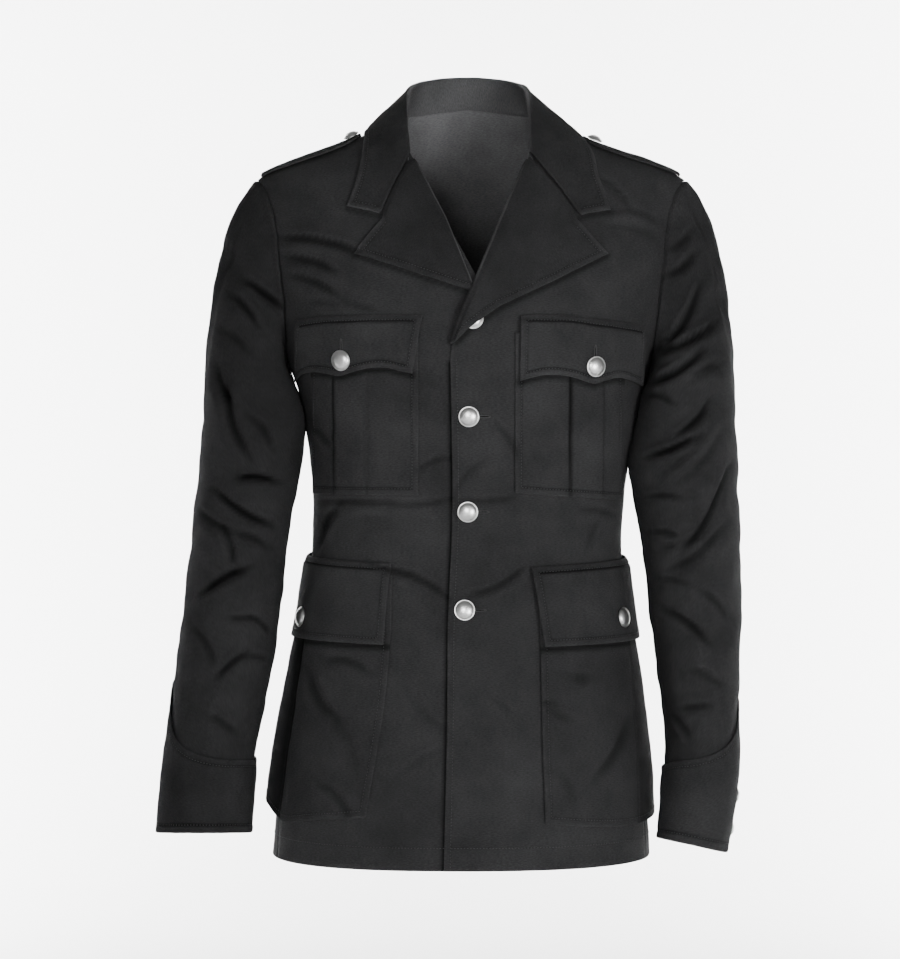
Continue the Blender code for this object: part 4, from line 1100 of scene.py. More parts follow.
def sleeve(letter):
    """Sleeve: curved lines from the armhole down to the first level ring, then level rings."""
    side, levels_table = SIDE[letter], SLEEVE[letter]
    half = 66
    turn = np.radians(np.arange(2 * half) * 180 / half)
    share = np.linspace(0, 1, half + 1)
    front = armhole(ARMHOLE_FRONT, side, share)
    back = armhole(ARMHOLE_BACK, side, share)[::-1]
    hole = np.concatenate([front, back[1:-1]])
    start, normal = body_surface(hole[:, 0], hole[:, 1])
    for _ in range(4):
        start = 0.5 * start + 0.25 * (np.roll(start, 1, axis=0) + np.roll(start, -1, axis=0))
    tangent = np.roll(start, -1, axis=0) - np.roll(start, 1, axis=0)
    leave = unit(np.cross(normal, tangent))
    middle = start.mean(axis=0)
    leave *= np.sign(np.mean(np.sum(leave * (middle - start), axis=-1)))
    levels = -np.linspace(levels_table[0, 0], levels_table[-1, 0], 150)
    rings = tube_point(levels_table, turn[None, :], levels[:, None])
    distance = np.linalg.norm(rings[0] - start, axis=-1, keepdims=True)
    straight = (rings[0] - start) / distance
    under = (1 - np.cos(turn))[:, None] / 2
    away = 0.4 * leave + 0.6 * np.array([side * 0.88, 0, -0.47])
    lead = (1 - under) * away + under * (straight + (side * 0.4, 0, 0))
    down = np.array([0, 0, -1.0])
    fall = np.linspace(0, 1, 60)[:-1, None, None] ** 1.25
    head = cubic(fall, start + leave * 0.4, rings[0], distance * lead * 0.62, distance * down)
    points = np.concatenate([head, rings])
    lean = np.interp(points[..., 2], SLEEVE_LEAN[letter][:, 0], SLEEVE_LEAN[letter][:, 1])
    lean = lean * np.clip(-np.cos(turn), 0, 1) ** 2
    points[..., 0] -= side * np.minimum(lean, np.clip(off_body(points) - 1.3, 0, 20))
    normals = tube_normals(points)
    normals[0] = normal
    seam = reach(points, 0)
    ease = 1 - np.exp(-(seam / 14) ** 2)
    finer = SLEEVE_CREASES[letter]
    depth = folds(points, normals, SLEEVE_FOLDS[letter]) + 1.5 * creases(points, normals, finer)
    gather = 0.7 * np.exp(-((seam - 7) / 6) ** 2) * np.sin(turn * 34) * np.clip(np.cos(turn), 0, 1)
    height = ease * (ripple(points, 1.0) - depth) + gather
    height += 1.1 * np.exp(-((seam - 3.5) / 3.0) ** 2) - 0.8 * np.exp(-(seam / 1.6) ** 2)
    for place in SLEEVE_SEAMS:
        away_from = np.abs((np.degrees(turn) - place + 180) % 360 - 180)[None, :] * 1.35
        height -= 0.7 * np.exp(-(away_from / 1.6) ** 2) * np.clip(seam / 60, 0, 1)
        height += 0.4 * np.exp(-((away_from - 4.0) / 2.2) ** 2) * np.clip(seam / 60, 0, 1)
    bare = np.clip((points[..., 2] - levels_table[-1, 0] - cuff_height(letter, turn) - 1.0) / 9, 0, 1)
    height = bare * height - 0.9 * (1 - bare)
    outer = points + height[..., None] * normals
    edge = np.minimum(seam + 3.0, 60.0)
    # Painted shade in the troughs of the creases.
    shade = hollow(points, normals, finer)
    shell("sleeve_" + letter, outer, outer - CLOTH * normals, edge, shade, tube=True)


def cuff(letter):
    """Turned-back cuff round the sleeve's end, folded under at the bottom, higher behind."""
    levels_table = SLEEVE[letter]
    end = -levels_table[-1, 0]
    count = 132
    turn = np.arange(count) * 2 * np.pi / count
    up = shares(95.0)[::-1]
    level = end - up[:, None] * cuff_height(letter, turn)
    out, deep = GAP + CLOTH + 0.6, -2.6
    grow = out - 1.1 * np.clip((up - 0.8) / 0.2, 0, 1)[:, None]
    outside = tube_point(levels_table, turn + 0 * level, level, grow)
    angle = np.radians([[25], [50], [75], [100], [130], [160]])
    grow = out * 0.5 * (1 + np.cos(angle)) + deep * 0.5 * (1 - np.cos(angle))
    fold = tube_point(levels_table, turn + 0 * angle, end + 1.6 * np.sin(angle) + 0 * turn, grow)
    level = end - np.array([[4.0], [14.0], [30.0]]) + 0 * turn
    inside = tube_point(levels_table, turn + 0 * level, level, deep)
    points = np.concatenate([outside, fold, inside])
    normals = tube_normals(points, 20)
    gone = reach(points, 0)
    rows = len(outside)
    low_edge = np.maximum(gone[rows - 1][None, :] - gone, 0)
    edge = np.minimum(gone, low_edge + 1.5)
    height = ripple(points, 0.6)
    # The seam grooves are also painted as shade.
    shade = np.zeros(gone.shape)
    for line, strength in ((gone, 0.35), (low_edge, 0.6)):
        rise, groove = stitched_edge(points, line, strength)
        height += rise
        shade += groove
    height[rows:] *= 0.3
    outer = points + height[..., None] * normals
    cloth_shell("cuff_" + letter, outer, normals, edge, turned(gone, CLOTH), shade, tube=True)
    grid = np.concatenate([outer, normals], axis=-1)
    grid = np.concatenate([grid, grid[:, :1]], axis=1)[:rows]
    for border in "bt":
        sew(inset(grid, border, STITCH_IN))


# Collar and lapels
def bend(start, end, lift, share):
    """Curve between two rows of points that swells along lift."""
    t = share[None, :, None]
    return start[:, None] * (1 - t) + end[:, None] * t + lift[:, None] * (4 * t * (1 - t))


def neck_fill_light(z):
    """How much painted light brightens the plain inner face inside the neck, fading out down the back."""
    return 4.0 * np.clip((z + 122) / 100, 0, 1) ** 0.8


def notch_share(line):
    """Share of the line's length at which the notch, its third point, lies."""
    gone = reach(line[:, None], 0)[:, 0]
    return gone[2] / gone[-1]


def collar():
    """Stand and fall in one: up from the neckline, over the fold, out to the edge."""
    half = []
    for letter, side in SIDE.items():
        share = np.linspace(0, 1, 13)
        neck = along(NECKLINE, share) * (side, 1)
        bottom = body_point(neck[:, 0], neck[:, 1] - 2.5, -0.9)
        fold = curve(FOLD_LINE * (side, 1, 1), share)
        out = body_point(neck[:, 0], neck[:, 1], 1.0) - body_point(neck[:, 0], neck[:, 1])
        edge_line = curve(COLLAR_EDGE[letter], share, np.array([1.0, 0.8]))
        edge = body_point(edge_line[:, 0], edge_line[:, 1], 3.6)
        level_out = unit(out * (1, 1, 0))
        inner_fold = fold - level_out * 1.5
        outer_fold = fold + level_out * 4.5 + (0, 0, -2.0)
        rise = (fold - bottom) * 0.5
        rows = [bottom, bottom + rise * 0.9 - level_out * 0.6, inner_fold + (0, 0, -4.5)]
        rows += [inner_fold, fold + level_out * 1.5 + (0, 0, 1.6), outer_fold]
        down = np.concatenate([np.linspace(0, 0.55, 6)[1:], np.linspace(0.55, 1, 6)[1:]])
        fall = bend(outer_fold, edge, level_out * 2.2 + (0, 0, 1.2), down)
        rows += [fall[:, k] for k in range(len(down))]
        grid = np.array(rows).transpose(1, 0, 2)
        front = COLLAR_FRONT[letter]
        notch = notch_share(front)
        gone = np.concatenate([[0.0, 0.10], np.interp(down, (0, 0.55, 1), (0.10, notch, 1.0))])
        at = edge_angles(along(front, gone))
        lifts = np.interp(gone, (0, 0.1, 0.35, notch, 1), (6.0, 6.3, 6.0, 5.1, 3.8))
        ends = body_point(at[:, 0], at[:, 1], lifts)
        shift = np.clip(1 - np.arange(13) / 5, 0, 1)[:, None]
        for column, end in enumerate(ends, 4):
            grid[:, column] += shift ** 1.5 * (end - grid[0, column])
        half.append(grid)
    net = np.concatenate([half[0], half[1][::-1][1:]])
    rows = 24 * shares(560.0)
    columns = np.concatenate([np.linspace(0, 5, 26)[:-1], 5 + 10 * shares(62.0, "end")])
    points = refine(net, rows, columns)
    normals = grid_normals(points)
    if normals[len(rows) // 2, 20, 2] < 0:
        normals = -normals
    edge = np.minimum(border_distance(points, "lr"), border_distance(points, "bt"))
    height = ripple(points, 0.5) * np.clip(edge / 10, 0, 1)
    fall = np.clip((columns - 4.5) / 0.5, 0, 1)[None, :]
    ends = border_distance(points, "bt") + 60 * (columns < 10)
    free = np.minimum(border_distance(points, "r"), ends)
    rise, seam = stitched_edge(points, free, 0.25)
    outer = points + (height + rise * fall)[..., None] * normals
    # Painted shade in the seam, a painted highlight along the free edge, and painted light on the face seen
    # inside the neck.
    seam = (seam - 0.4 * np.exp(-(free / 4) ** 2)) * fall
    pale = np.interp(columns, (0, 3.6, 4.3), (0.65, 0.4, 0.0))[None, :] * neck_fill_light(points[..., 2])
    cloth_shell("collar", outer, normals, edge, turned(edge, CLOTH), seam - pale, inside=seam)
    grid = np.concatenate([outer, normals], axis=-1)
    sew(inset(grid, "r", STITCH_IN), (STITCH_IN, STITCH_IN))
    first = np.searchsorted(columns, 10.0)
    for side in "bt":
        sew(inset(grid[:, first:], side, STITCH_IN), (2.0, STITCH_IN))


def lapel(letter):
    """Turned-back lapel: it rolls out from inside the front's edge and lies flat at its tip."""
    v = shares(205.0)
    u = shares(100.0, "end")
    roll = edge_angles(along(LAPEL_ROLL[letter], v))
    low = edge_angles(along(LAPEL_LOW[letter][::-1], v))
    top = along(LAPEL_TOP[letter], u)
    up = np.clip((0.6 - u) / 0.05, 0, 1) * np.clip(u / 0.1, 0, 1)
    top = edge_angles(top + up[:, None] * (SIDE[letter] * 1.6, 3.4))
    bottom = roll[0] + (low[0] - roll[0]) * u[:, None]
    grid = patch_grid(bottom, top, roll, low, u=u, v=v)
    angles, z = grid[..., 0], grid[..., 1]
    lift = np.interp(u, (0, 0.1, 0.3, 1), (3.4, 4.9, 5.2, 3.4))[None, :] + 0 * z
    flat = body_form(angles, z)
    notch = notch_share(LAPEL_TOP[letter])
    gorge = 1 / (1 + np.exp((u - notch) * 100))[None, :]
    lift = lift - 1.7 * gorge * np.exp(-((1 - v[:, None]) * 205 / 6) ** 2)
    if letter == "r":
        lift = lift - underlap(flat[..., 0])
    else:
        away = np.hypot(flat[..., 0] - FRONT_BUTTONS[0][0], flat[..., 2] - FRONT_BUTTONS[0][1])
        lift = lift + 4.4 * np.exp(-(away / 24) ** 2)
    surface, normal = body_surface(angles, z)
    edge = np.minimum(border_distance(surface, "r"), border_distance(surface, "bt"))
    shift, seam = hemmed(surface, "bR", {})
    over, over_seam = hemmed(surface, "bT", {})
    free = (1 - gorge) * (border_distance(surface, "T") < border_distance(surface, "R"))
    shift = shift * (1 - free) + over * free
    # Painted shade in the seam grooves and crease troughs, and a painted highlight along the free top edge.
    seam = seam * (1 - free) + over_seam * free + hollow(surface, normal, BODY_CREASES) * 0.5
    seam = seam - 0.45 * free * np.exp(-(border_distance(surface, "T") / 4) ** 2)
    main = surface + (lift + shift)[..., None] * normal
    inward = unit(surface[:, :1] - surface[:, 2:3])
    rolled = []
    for turn in np.radians(np.array([170, 140, 110, 80, 50, 25])):
        radius = (lift[:, :1] + 3.2) / 2
        middle = (lift[:, :1] - 3.2) / 2
        rolled.append(surface[:, :1] + inward * (radius * 1.05 * np.sin(turn))[..., None]
                      + normal[:, :1] * (middle + radius * np.cos(turn))[..., None])
    points = np.concatenate(rolled + [main], axis=1)
    normals = grid_normals(points)
    if np.sum(normals[:, 20] * normal[:, 14]) < 0:
        normals = -normals
    wide = np.concatenate([np.repeat(edge[:, :1], 6, axis=1), edge], axis=1)
    # Painted highlight along the rolled edge.
    roll_highlight = np.clip((v - (0.3 if letter == "l" else -1)) / 0.1, 0, 1) * (1 - v ** 8)
    seam = np.concatenate([np.repeat(-1.5 * roll_highlight[:, None], 6, axis=1), seam], axis=1)
    cloth_shell("lapel_" + letter, points, normals, wide, turned(wide, CLOTH), seam)
    sew_borders(main, normal, "bRt")
    sew(inset(np.concatenate([main, normal], axis=-1)[:, u > notch], "t", STITCH_IN), (1.0, STITCH_IN))


# Pockets and flaps
def breast_pocket(letter):
    """Patch pocket with a raised box pleat down its middle."""
    sizes = BREAST_POCKET[letter]
    (outer_x, outer_z), (inner_x, inner_z) = sizes["outer"], sizes["inner"]
    near, far = sorted(np.abs(sizes["pleat"]))
    whole = abs(outer_x - inner_x)
    creased = np.array([near - 1.2, near, near + 1, far - 1, far, far + 1.2])
    across = np.concatenate([shares(whole), (creased - abs(inner_x)) / whole])
    x = inner_x + (outer_x - inner_x) * np.sort(across)
    v = 1 - shares(155.0, "start")[::-1]
    low = inner_z + (outer_z - inner_z) * (x - inner_x) / (outer_x - inner_x)
    z = sizes["top"] + (low - sizes["top"])[None, :] * v[:, None]
    angles = angle_at(np.broadcast_to(x, z.shape), z)
    width = np.abs(x)[None, :]
    pleat = np.clip((width - near) / 1.2 + 0.5, 0, 1) * np.clip((far - width) / 1.2 + 0.5, 0, 1)
    lift = GAP + PATCH + 0.3 + 1.3 * pleat * (1 - 0.55 * v[:, None] ** 4)
    sink = np.exp(-((width - near) / 1.4) ** 2) + 0.5 * np.exp(-((width - far) / 1.4) ** 2)
    lift = lift - 0.5 * sink * (1 - v[:, None] ** 3)
    # Painted shade: a dark line along the pleat's fold turned from the light, a fainter one along the other
    # fold, and painted shadow under the flap.
    folded = -far if letter == "r" else near
    pressed = near if letter == "r" else far
    signed = x[None, :] + 0 * z
    dark = 0.95 * np.exp(-((signed - folded) / 1.2) ** 2) * (1 - 0.6 * v[:, None] ** 6)
    dark = dark + 0.2 * np.exp(-((np.abs(signed) - pressed) / 1.4) ** 2)
    flap = BREAST_FLAP[letter][:, 2:] + (0, -2)
    dark = np.maximum(dark, 0.75 * beneath(body_form(angles, z), flap))
    layer("breast_pocket_" + letter, angles, z, lift, PATCH, "TLR", dark=dark, T=0.55)


def breast_flap(letter):
    """Shaped flap, close to the panel at its stitched upper edge."""
    edges = BREAST_FLAP[letter]
    where = shares(118.0) * (len(edges) - 1)
    keys = np.arange(len(edges), dtype=float)
    top_x, top, low_x, low = (smooth_table(where, keys, edges[:, k]) for k in range(4))
    v = shares(60.0)[:, None]
    x = top_x + (low_x - top_x) * v
    z = top + (low - top) * v
    angles = angle_at(x, z)
    near, far = sorted(np.abs(BREAST_POCKET[letter]["pleat"]))
    over = np.clip((np.abs(x) - near + 14) / 12, 0, 1) * np.clip((far + 14 - np.abs(x)) / 12, 0, 1)
    rise = np.interp(v, (0, 0.14, 0.45, 0.8, 1.0), (0.4, 2.9, 3.2, 3.3, 3.1))
    lift = GAP + WALL + rise + 1.4 * over * np.minimum(rise, 1) - 0.6 * np.exp(-((v * 60 - 1.5) / 2) ** 2)
    # B and T set how dark the painted shade along those seams is.
    layer("breast_flap_" + letter, angles, z, lift, CLOTH, "TLRB", B=0.9, T=0.6)


def lower_pocket(letter):
    """Bellows pocket that wraps round the side, with a deep crease down its middle."""
    sizes = LOWER_POCKET[letter]
    distance = np.unique(np.concatenate([LOWER_POCKET_WIDTH * shares(LOWER_POCKET_WIDTH),
                                         LOWER_PLEAT + np.array([-6, -4, -3, -2, -1, 0, 1, 2, 3, 4, 6])]))
    v = 1 - shares(240.0, "start")[::-1]
    low = smooth_table(distance, sizes["bottom"][:, 0], sizes["bottom"][:, 1])
    z = sizes["top"] + (low - sizes["top"])[None, :] * v[:, None]
    start = angle_at(smooth_table(z, sizes["edge"][:, 0], sizes["edge"][:, 1]), z)
    angles = angle_after(start, z, np.broadcast_to(distance, z.shape))
    swell = np.clip(distance / 60, 0, 1) * np.clip((LOWER_POCKET_WIDTH - distance) / 40, 0, 1)
    swell = swell * swell * (3 - 2 * swell)
    share = v[:, None]
    full = swell[None, :] * (1.0 + 3.4 * share - 1.6 * share ** 3)
    rear = np.clip((distance - LOWER_PLEAT - 4) / 22, 0, 1)
    rear = LOWER_REAR[letter] * rear * np.clip((LOWER_POCKET_WIDTH + 14 - distance) / 40, 0, 1)
    full = full + rear[None, :] * share ** 1.3
    open_width = 5.6 - 2.6 * share if letter == "r" else 1.6 - 0.4 * share
    crease = np.exp(-((distance - LOWER_PLEAT)[None, :] / open_width) ** 2)
    depth = (3.4 - 1.2 * share) if letter == "r" else (1.8 - 0.4 * share)
    lift = GAP + 0.4 + PATCH + 0.6 + full - crease * np.minimum(depth, full + 1.2)
    # Painted shade: black in the crease, the half behind it darkened as in shadow, and painted shadow under
    # the flap.
    behind = (distance - LOWER_PLEAT)[None, :] + 0 * share
    dark = crease * ((1.0 - 0.15 * share) if letter == "r" else 0.3)
    deep = 0.75 if letter == "r" else 0.35
    dark = np.maximum(dark, deep * np.clip(behind / 3, 0, 1) * np.exp(-(behind / 34) ** 2))
    flap = np.interp(distance, (0, sizes["flap_width"]), sizes["flap_low"])[None, :]
    dark = np.maximum(dark, 0.75 * np.exp(-((z - flap + 2) / 3) ** 2))
    layer("lower_pocket_" + letter, angles, z, lift, PATCH, "TLR", own=LOWER_CREASES[letter], dark=dark,
          L=0.1, R=0.1, T=0.15)


def lower_flap(letter):
    """Straight flap of the lower pocket; gives its face and normal where the button sits."""
    sizes = LOWER_POCKET[letter]
    width = sizes["flap_width"]
    distance = width * shares(width)
    v = shares(80.0)[:, None]
    top = np.interp(distance, (0, width), sizes["flap_top"])
    low = np.interp(distance, (0, width), sizes["flap_low"])
    edge = sizes["flap_edge"][0] + (sizes["flap_edge"][1] - sizes["flap_edge"][0]) * v
    z = top[None, :] + (low - top)[None, :] * v
    angles = angle_after(angle_at(edge + 0 * z, z), z, distance[None, :] + 0 * z)
    rise = np.interp(v, (0, 0.12, 0.45, 0.75, 1.0), (0.4, 3.8, 4.6, 5.2, 5.6))
    swell = np.clip(distance / 40, 0, 1) * np.clip((width - distance) / 40, 0, 1)
    lift = GAP + 0.4 + WALL + rise + 0.8 * swell * np.minimum(rise, 1)
    # B and T set how dark the painted shade along those seams is.
    outer, normal = layer("lower_flap_" + letter, angles, z, lift, CLOTH, "TLRB", B=0.9, T=0.3)
    x, z = LOWER_BUTTON[letter]
    place = body_form(angle_at(x, z), z)
    at = np.unravel_index(np.argmin(np.linalg.norm(outer - place, axis=-1)), outer.shape[:2])
    return outer[at], normal[at]


def shoulder_surface(x, y):
    """Point and normal of the body form above a place on the shoulder, found by halving in z."""
    low = np.full(np.shape(x), -160.0)
    high = np.full(np.shape(x), -0.5)
    for _ in range(40):
        z = (low + high) / 2
        half, front, back, centre = ring_sizes(z)
        depth = np.where(y < 0, front, back)
        inside = np.abs((x - centre) / half) ** SHAPE + np.abs(y / depth) ** SHAPE < 1
        low = np.where(inside, z, low)
        high = np.where(inside, high, z)
    z = (low + high) / 2
    centre = ring_sizes(z)[3]
    return body_surface(np.degrees(np.arctan2(x - centre, -y)), z)


def epaulette(letter):
    """Shoulder strap lying across the shoulder seam, its end rounded towards the collar."""
    line = curve(EPAULETTE[letter], shares(110.0, "end"))
    u = 2 * shares(46.0) - 1
    y = line[:, 1:2] + line[:, 2:3] * u[None, :]
    x = np.broadcast_to(line[:, :1], y.shape)
    surface, normal = shoulder_surface(x, y)
    edge = border_distance(surface, "tlr")
    # The seam grooves are also painted as shade.
    shift, seam = hemmed(surface, "TLR", {})
    lift = 0.9 + WALL + 0.8 * (1 - u[None, :] ** 2) + 0 * y
    draw = turned(edge, CLOTH)
    outer = surface + (lift + shift - draw)[..., None] * normal
    inner = surface + (lift + shift - WALL + draw)[..., None] * normal
    shell("epaulette_" + letter, outer, inner, edge, seam)
    sew_borders(outer, normal, "TLR")


# Buttons, buttonholes and stitches
def frame_at(normal):
    """Two directions square to the normal."""
    normal = unit(np.asarray(normal, float))
    first = unit(np.cross(normal, (0.0, 0.0, 1.0) if abs(normal[2]) < 0.9 else (0.0, 1.0, 0.0)))
    return first, np.cross(normal, first), normal


def button(node, centre, normal, radius):
    """Plain dome with a rolled rim, turned round the normal."""
    arc = np.radians(np.linspace(4, 78, 12))
    dome_r = radius * 0.9 * np.sin(arc) / np.sin(arc[-1])
    dome_h = 1.0 + (BUTTON_H - 1.0) * (np.cos(arc) - np.cos(arc[-1])) / (1 - np.cos(arc[-1]))
    rim = np.radians(np.linspace(60, -150, 9))
    rim_r = radius - 0.75 + 0.75 * np.cos(rim)
    rim_h = 0.95 + 0.75 * np.sin(rim)
    profile = np.stack([np.concatenate([dome_r, rim_r, [radius * 0.3]]),
                        np.concatenate([dome_h, rim_h, [0.2]])], axis=-1)
    count = 56
    turn = np.arange(count) * 2 * np.pi / count
    a, b, n = frame_at(normal)
    ring = np.cos(turn)[:, None] * a + np.sin(turn)[:, None] * b
    points = centre + profile[:, 0, None, None] * ring[None] + profile[:, 1, None, None] * n
    number = np.arange(points.shape[0] * count).reshape(-1, count)
    number = np.concatenate([number, number[:, :1]], axis=1)
    faces = np.stack([number[:-1, :-1], number[1:, :-1], number[1:, 1:], number[:-1, 1:]], -1).reshape(-1, 4)
    tips = len(profile) * count
    points = np.concatenate([points.reshape(-1, 3), [centre + BUTTON_H * n], [centre + 0.2 * n]])
    first, last = number[0], number[-1]
    cap = np.stack([np.full(count // 2, tips), first[:-1:2], first[1::2], first[2::2]], -1)
    seat = np.stack([np.full(count // 2, tips + 1), last[2::2], last[1::2], last[:-1:2]], -1)
    faces = np.concatenate([faces, cap, seat])
    share = np.concatenate([np.repeat(np.clip(profile[:, 0] / radius, 0, 1), count), [0.0, 0.3]])
    mesh_object(node + "_metal", points, faces, SATIN, share, None, (node,))


def button_on_body(node, x, z, lift):
    """Button on cloth that stands off the body by lift."""
    surface, normal = body_surface(angle_at(x, z), z)
    button(node, surface + (lift + BUTTON_SEAT) * normal, normal, BUTTON_R)
    return surface, normal


def cuff_buttons(letter):
    """Two buttons at the cuff's outer back, square to its surface."""
    levels_table = SLEEVE[letter]
    turn = np.radians(CUFF_BUTTON_ANGLE[letter])
    for count, height in enumerate(CUFF_BUTTON_HEIGHTS, 1):
        level = -levels_table[-1, 0] - height
        around = np.array([(0, 0), (0.1, 0), (-0.1, 0), (0, 3), (0, -3)])
        line = tube_point(levels_table, turn + around[:, 0], level + around[:, 1], GAP + WALL)
        normal = unit(np.cross(line[1] - line[2], line[3] - line[4]))
        ring = tube_point(levels_table, np.radians(np.arange(0, 360, 10.0)), level + np.zeros(36))
        middle = ring.mean(axis=0)
        normal *= np.sign(np.dot(normal, line[0] - middle))
        button("cuff_button_%s_%d" % (letter, count), line[0] + normal * 0.7, normal, CUFF_BUTTON_R)


def stitching():
    """All stitches in one mesh, each a spindle with four sides half sunk in the cloth."""
    line = np.array([np.concatenate(STITCHES[k::3]) for k in range(3)])
    start, middle, end = line[0], line[1], line[2]
    normal = unit(middle[:, 3:])
    way = unit(end[:, :3] - start[:, :3])
    across = np.cross(normal, way)
    seat = 0.12
    parts = [start[:, :3] + normal * -0.1, end[:, :3] + normal * -0.1,
             middle[:, :3] + across * 0.36 + normal * seat, middle[:, :3] + normal * (seat + 0.36),
             middle[:, :3] - across * 0.36 + normal * seat, middle[:, :3] - normal * 0.3]
    points = np.stack(parts, axis=1).reshape(-1, 3)
    sides = [(2, 3), (3, 4), (4, 5), (5, 2)]
    shape = [(0, b, a) for a, b in sides] + [(1, a, b) for a, b in sides]
    faces = (np.arange(len(start))[:, None, None] * 6 + np.array(shape)[None]).reshape(-1, 3)
    mesh_object("stitching", points, faces, THREAD)


def buttonhole(centre, normal, way):
    """Thread ring round a slit, its long side along way."""
    normal = unit(normal)
    way = unit(way - np.dot(way, normal) * normal)
    across = np.cross(normal, way)
    count = 40
    turn = np.arange(count) * 2 * np.pi / count
    long_r, short_r = HOLE_LENGTH / 2 - 1.0, 0.85
    path = centre + (long_r * np.sign(np.cos(turn)) * np.abs(np.cos(turn)) ** 0.5)[:, None] * way \
        + (short_r * np.sin(turn))[:, None] * across
    out = unit(path - centre)
    out = unit(out * 0.2 + (np.sin(turn))[:, None] * across)
    small = np.arange(6) * 2 * np.pi / 6
    bumps = 0.5 + 0.1 * (np.arange(count) % 2)
    ring = path[:, None] + (bumps[:, None] * np.cos(small)[None])[..., None] * out[:, None] \
        + (bumps[:, None] * np.sin(small)[None])[..., None] * normal
    HOLES.append(ring)


def buttonholes():
    """The worked rings of all buttonholes in one mesh, and dark sheets of painted shade in their slits in
    another.
    """
    points, faces, slits, fans = [], [], [], []
    first = 0
    for ring in HOLES:
        count, small = ring.shape[:2]
        number = first + np.arange(count * small).reshape(count, small)
        right, up = np.roll(number, -1, axis=0), np.roll(number, -1, axis=1)
        faces.append(np.stack([number, right, np.roll(right, -1, axis=1), up], -1).reshape(-1, 4))
        points.append(ring.reshape(-1, 3))
        first += count * small
        line = ring.mean(axis=1)
        square = 0.45 * unit(np.cross(line[0] - line[count // 2], line[count // 4] - line[3 * count // 4]))
        middle = line.mean(axis=0)
        rim = len(slits) * (count + 2) + np.arange(count)
        top = np.full(count, rim[0] + count)
        fans.append(np.stack([rim, np.roll(rim, -1), top], -1))
        fans.append(np.stack([np.roll(rim, -1), rim, top + 1], -1))
        slits.append(np.concatenate([middle + 0.8 * (line - middle), [middle + square], [middle - square]]))
    slits = np.concatenate(slits)
    # Painted shade: fully shaded cloth fills each slit.
    mesh_object("buttonhole_slit_shade", slits, np.concatenate(fans), TWILL, np.full(len(slits), 60.0),
                None, (), np.ones(len(slits)))
    mesh_object("buttonhole_thread", np.concatenate(points), np.concatenate(faces), THREAD)


# The jacket
for letter in SIDE:
    front_panel(letter)
back_panel()
collar()
for letter, side in SIDE.items():
    sleeve(letter)
    cuff(letter)
    lapel(letter)
    epaulette(letter)
    breast_pocket(letter)
    breast_flap(letter)
    lower_pocket(letter)
    seat, square = lower_flap(letter)
    button("lower_button_" + letter, seat + BUTTON_SEAT * square, square, BUTTON_R)
    x, z = BREAST_BUTTON[letter]
    button_on_body("breast_button_" + letter, x, z, FLAP_FACE)
    z += HOLE_ABOVE
    place, square = body_surface(angle_at(x, z), z)
    buttonhole(place + square * (FLAP_FACE - 0.2), square, np.array((0, 0, 1.0)))
    place, square = shoulder_surface(*EPAULETTE_BUTTON[letter])
    lean = unit(square - (0, SHOULDER_BUTTON_TILT, 0))
    button("shoulder_button_" + letter, place + STRAP_FACE * square, lean, CUFF_BUTTON_R)
    cuff_buttons(letter)
for count, (x, z) in enumerate(FRONT_BUTTONS, 1):
    place, square = button_on_body("front_button_%d" % count, x, z, 0.3)
    if count > 1:
        buttonhole(place + square * 0.4 + (HOLE_BESIDE, 0, 0), square, np.array((1.0, 0, 0)))
stitching()
buttonholes()

# Cloth cut for each piece, as far as it shows: width, length and area in metres
CUTS = {
    # piece: (width, length, area, how it is held, what it rests on)
    "back": (0.46, 0.79, 0.345, "hung", ["front_l", "front_r"]),
    "front": (0.265, 0.78, 0.157, "hung", ["back"]),
    "sleeve": (0.37, 0.66, 0.183, "hung", ["front", "back"]),
    "cuff": (0.30, 0.16, 0.038, "folded", ["sleeve"]),
    "collar": (0.46, 0.085, 0.036, "folded", ["back", "front_l", "front_r"]),
    "lapel_l": (0.09, 0.21, 0.0125, "folded", ["front_l"]),
    "lapel_r": (0.085, 0.16, 0.008, "folded", ["front_r"]),
    "epaulette": (0.05, 0.115, 0.0052, "laid", ["front", "back"]),
    "breast_pocket": (0.135, 0.155, 0.0205, "laid", ["front"]),
    "breast_flap": (0.125, 0.068, 0.0081, "laid", ["breast_pocket", "front"]),
    "lower_pocket": (0.215, 0.242, 0.0515, "laid", ["front", "back"]),
    "lower_flap": (0.215, 0.088, 0.0187, "laid", ["lower_pocket", "front", "back"]),
}


def cloth_name(piece, letter):
    """Name of a piece's cloth, on the given side where each side has its own."""
    single = piece + "_cloth"
    return single if single in bpy.data.objects else "%s_%s_cloth" % (piece, letter)


for piece, (width, length, area, held, under) in CUTS.items():
    for name in dict.fromkeys(cloth_name(piece, letter) for letter in SIDE):
        letter = "r" if name.endswith("_r_cloth") else "l"


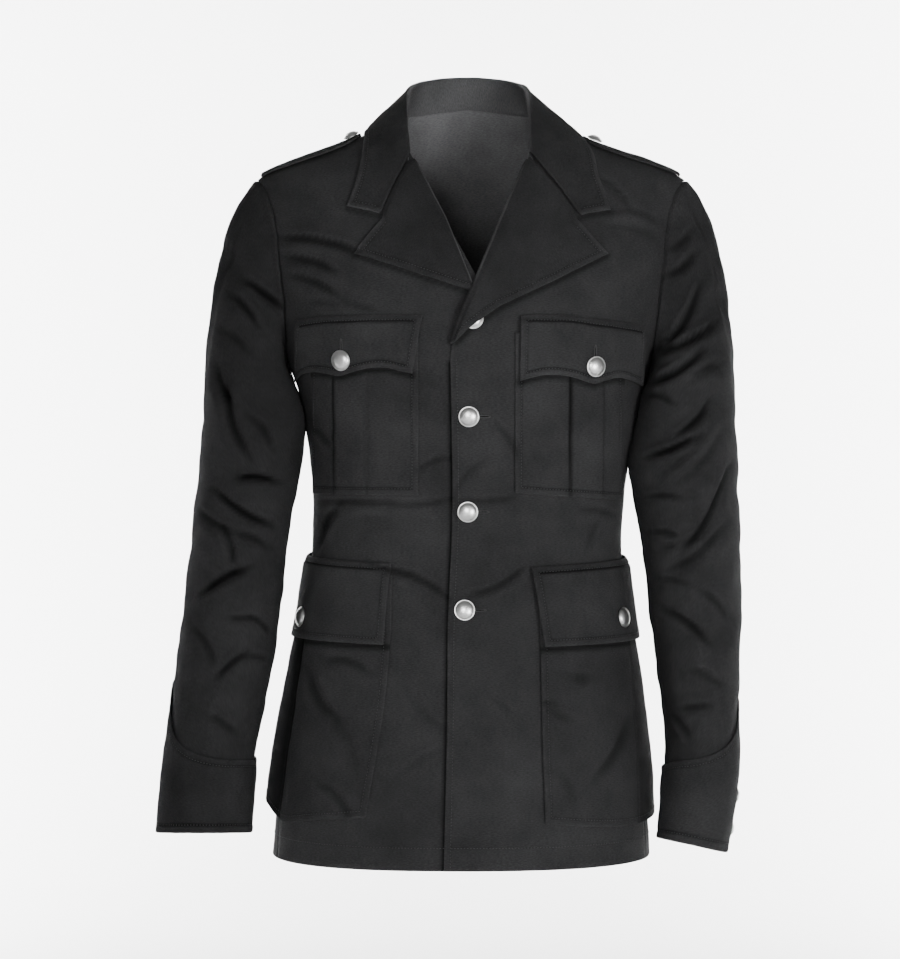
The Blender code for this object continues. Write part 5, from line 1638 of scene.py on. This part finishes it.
# Floor, light and camera
def backdrop():
    """Pale floor that sweeps up behind the jacket."""
    turn = np.linspace(0, np.pi / 2, 24)
    y = np.concatenate([[-11.0], -8.0 - 3.0 * np.sin(turn[::-1]), 1.2 + 1.6 * np.sin(turn), [2.8]])
    z = np.concatenate([[6.0], 3.0 * (1 - np.cos(turn[::-1])), 1.6 * (1 - np.cos(turn)), [6.0]]) - 1.05
    mesh = bpy.data.meshes.new("floor")
    rows = [[(x, b, c) for x in (-12.0, 12.0)] for b, c in zip(y, z)]
    mesh.from_pydata([p for row in rows for p in row], [],
                     [(2 * k, 2 * k + 1, 2 * k + 3, 2 * k + 2) for k in range(len(rows) - 1)])
    mesh.shade_smooth()
    made = bpy.data.objects.new("floor", mesh)
    bpy.context.scene.collection.objects.link(made)
    pale, shader = new_material("pale_floor")
    shader.inputs["Base Color"].default_value = (0.9, 0.9, 0.9, 1.0)
    shader.inputs["Roughness"].default_value = 0.9
    mesh.materials.append(pale)


def area_light(name, place, target, size, power):
    """Soft rectangular light at a place, turned to its target."""
    data = bpy.data.lights.new(name, "AREA")
    data.shape = "RECTANGLE"
    data.size, data.size_y = size
    data.energy = power
    made = bpy.data.objects.new(name, data)
    made.location = place
    made.rotation_euler = (Vector(target) - Vector(place)).to_track_quat("-Z", "Y").to_euler()
    bpy.context.scene.collection.objects.link(made)


backdrop()
area_light("key", (1.6, -2.7, -0.75), (0, 0, -0.35), (0.9, 0.9), 58.0)
area_light("fill", (-0.3, -2.7, -0.2), (0, 0, -0.3), (0.6, 0.6), 24.0)
for side in (-1, 1):
    area_light("backdrop_%d" % (side + 2), (1.6 * side, 1.0, 0.1), (1.2 * side, 2.3, -0.25), (1.2, 2.4),
               290.0)
world = bpy.data.worlds.new("studio")
bpy.context.scene.world = world
world.use_nodes = True
world.node_tree.nodes["Background"].inputs["Color"].default_value = (1.0, 1.0, 1.0, 1.0)
world.node_tree.nodes["Background"].inputs["Strength"].default_value = 0.16
data = bpy.data.cameras.new("camera")
data.sensor_fit = "HORIZONTAL"
data.sensor_width = 36.0
data.lens = 96.0
camera = bpy.data.objects.new("camera", data)
camera.location = (-0.018, -2.4, -0.362)
camera.rotation_euler = (np.pi / 2, 0, 0)
bpy.context.scene.collection.objects.link(camera)
bpy.context.scene.camera = camera

bpy.context.view_layer.update()
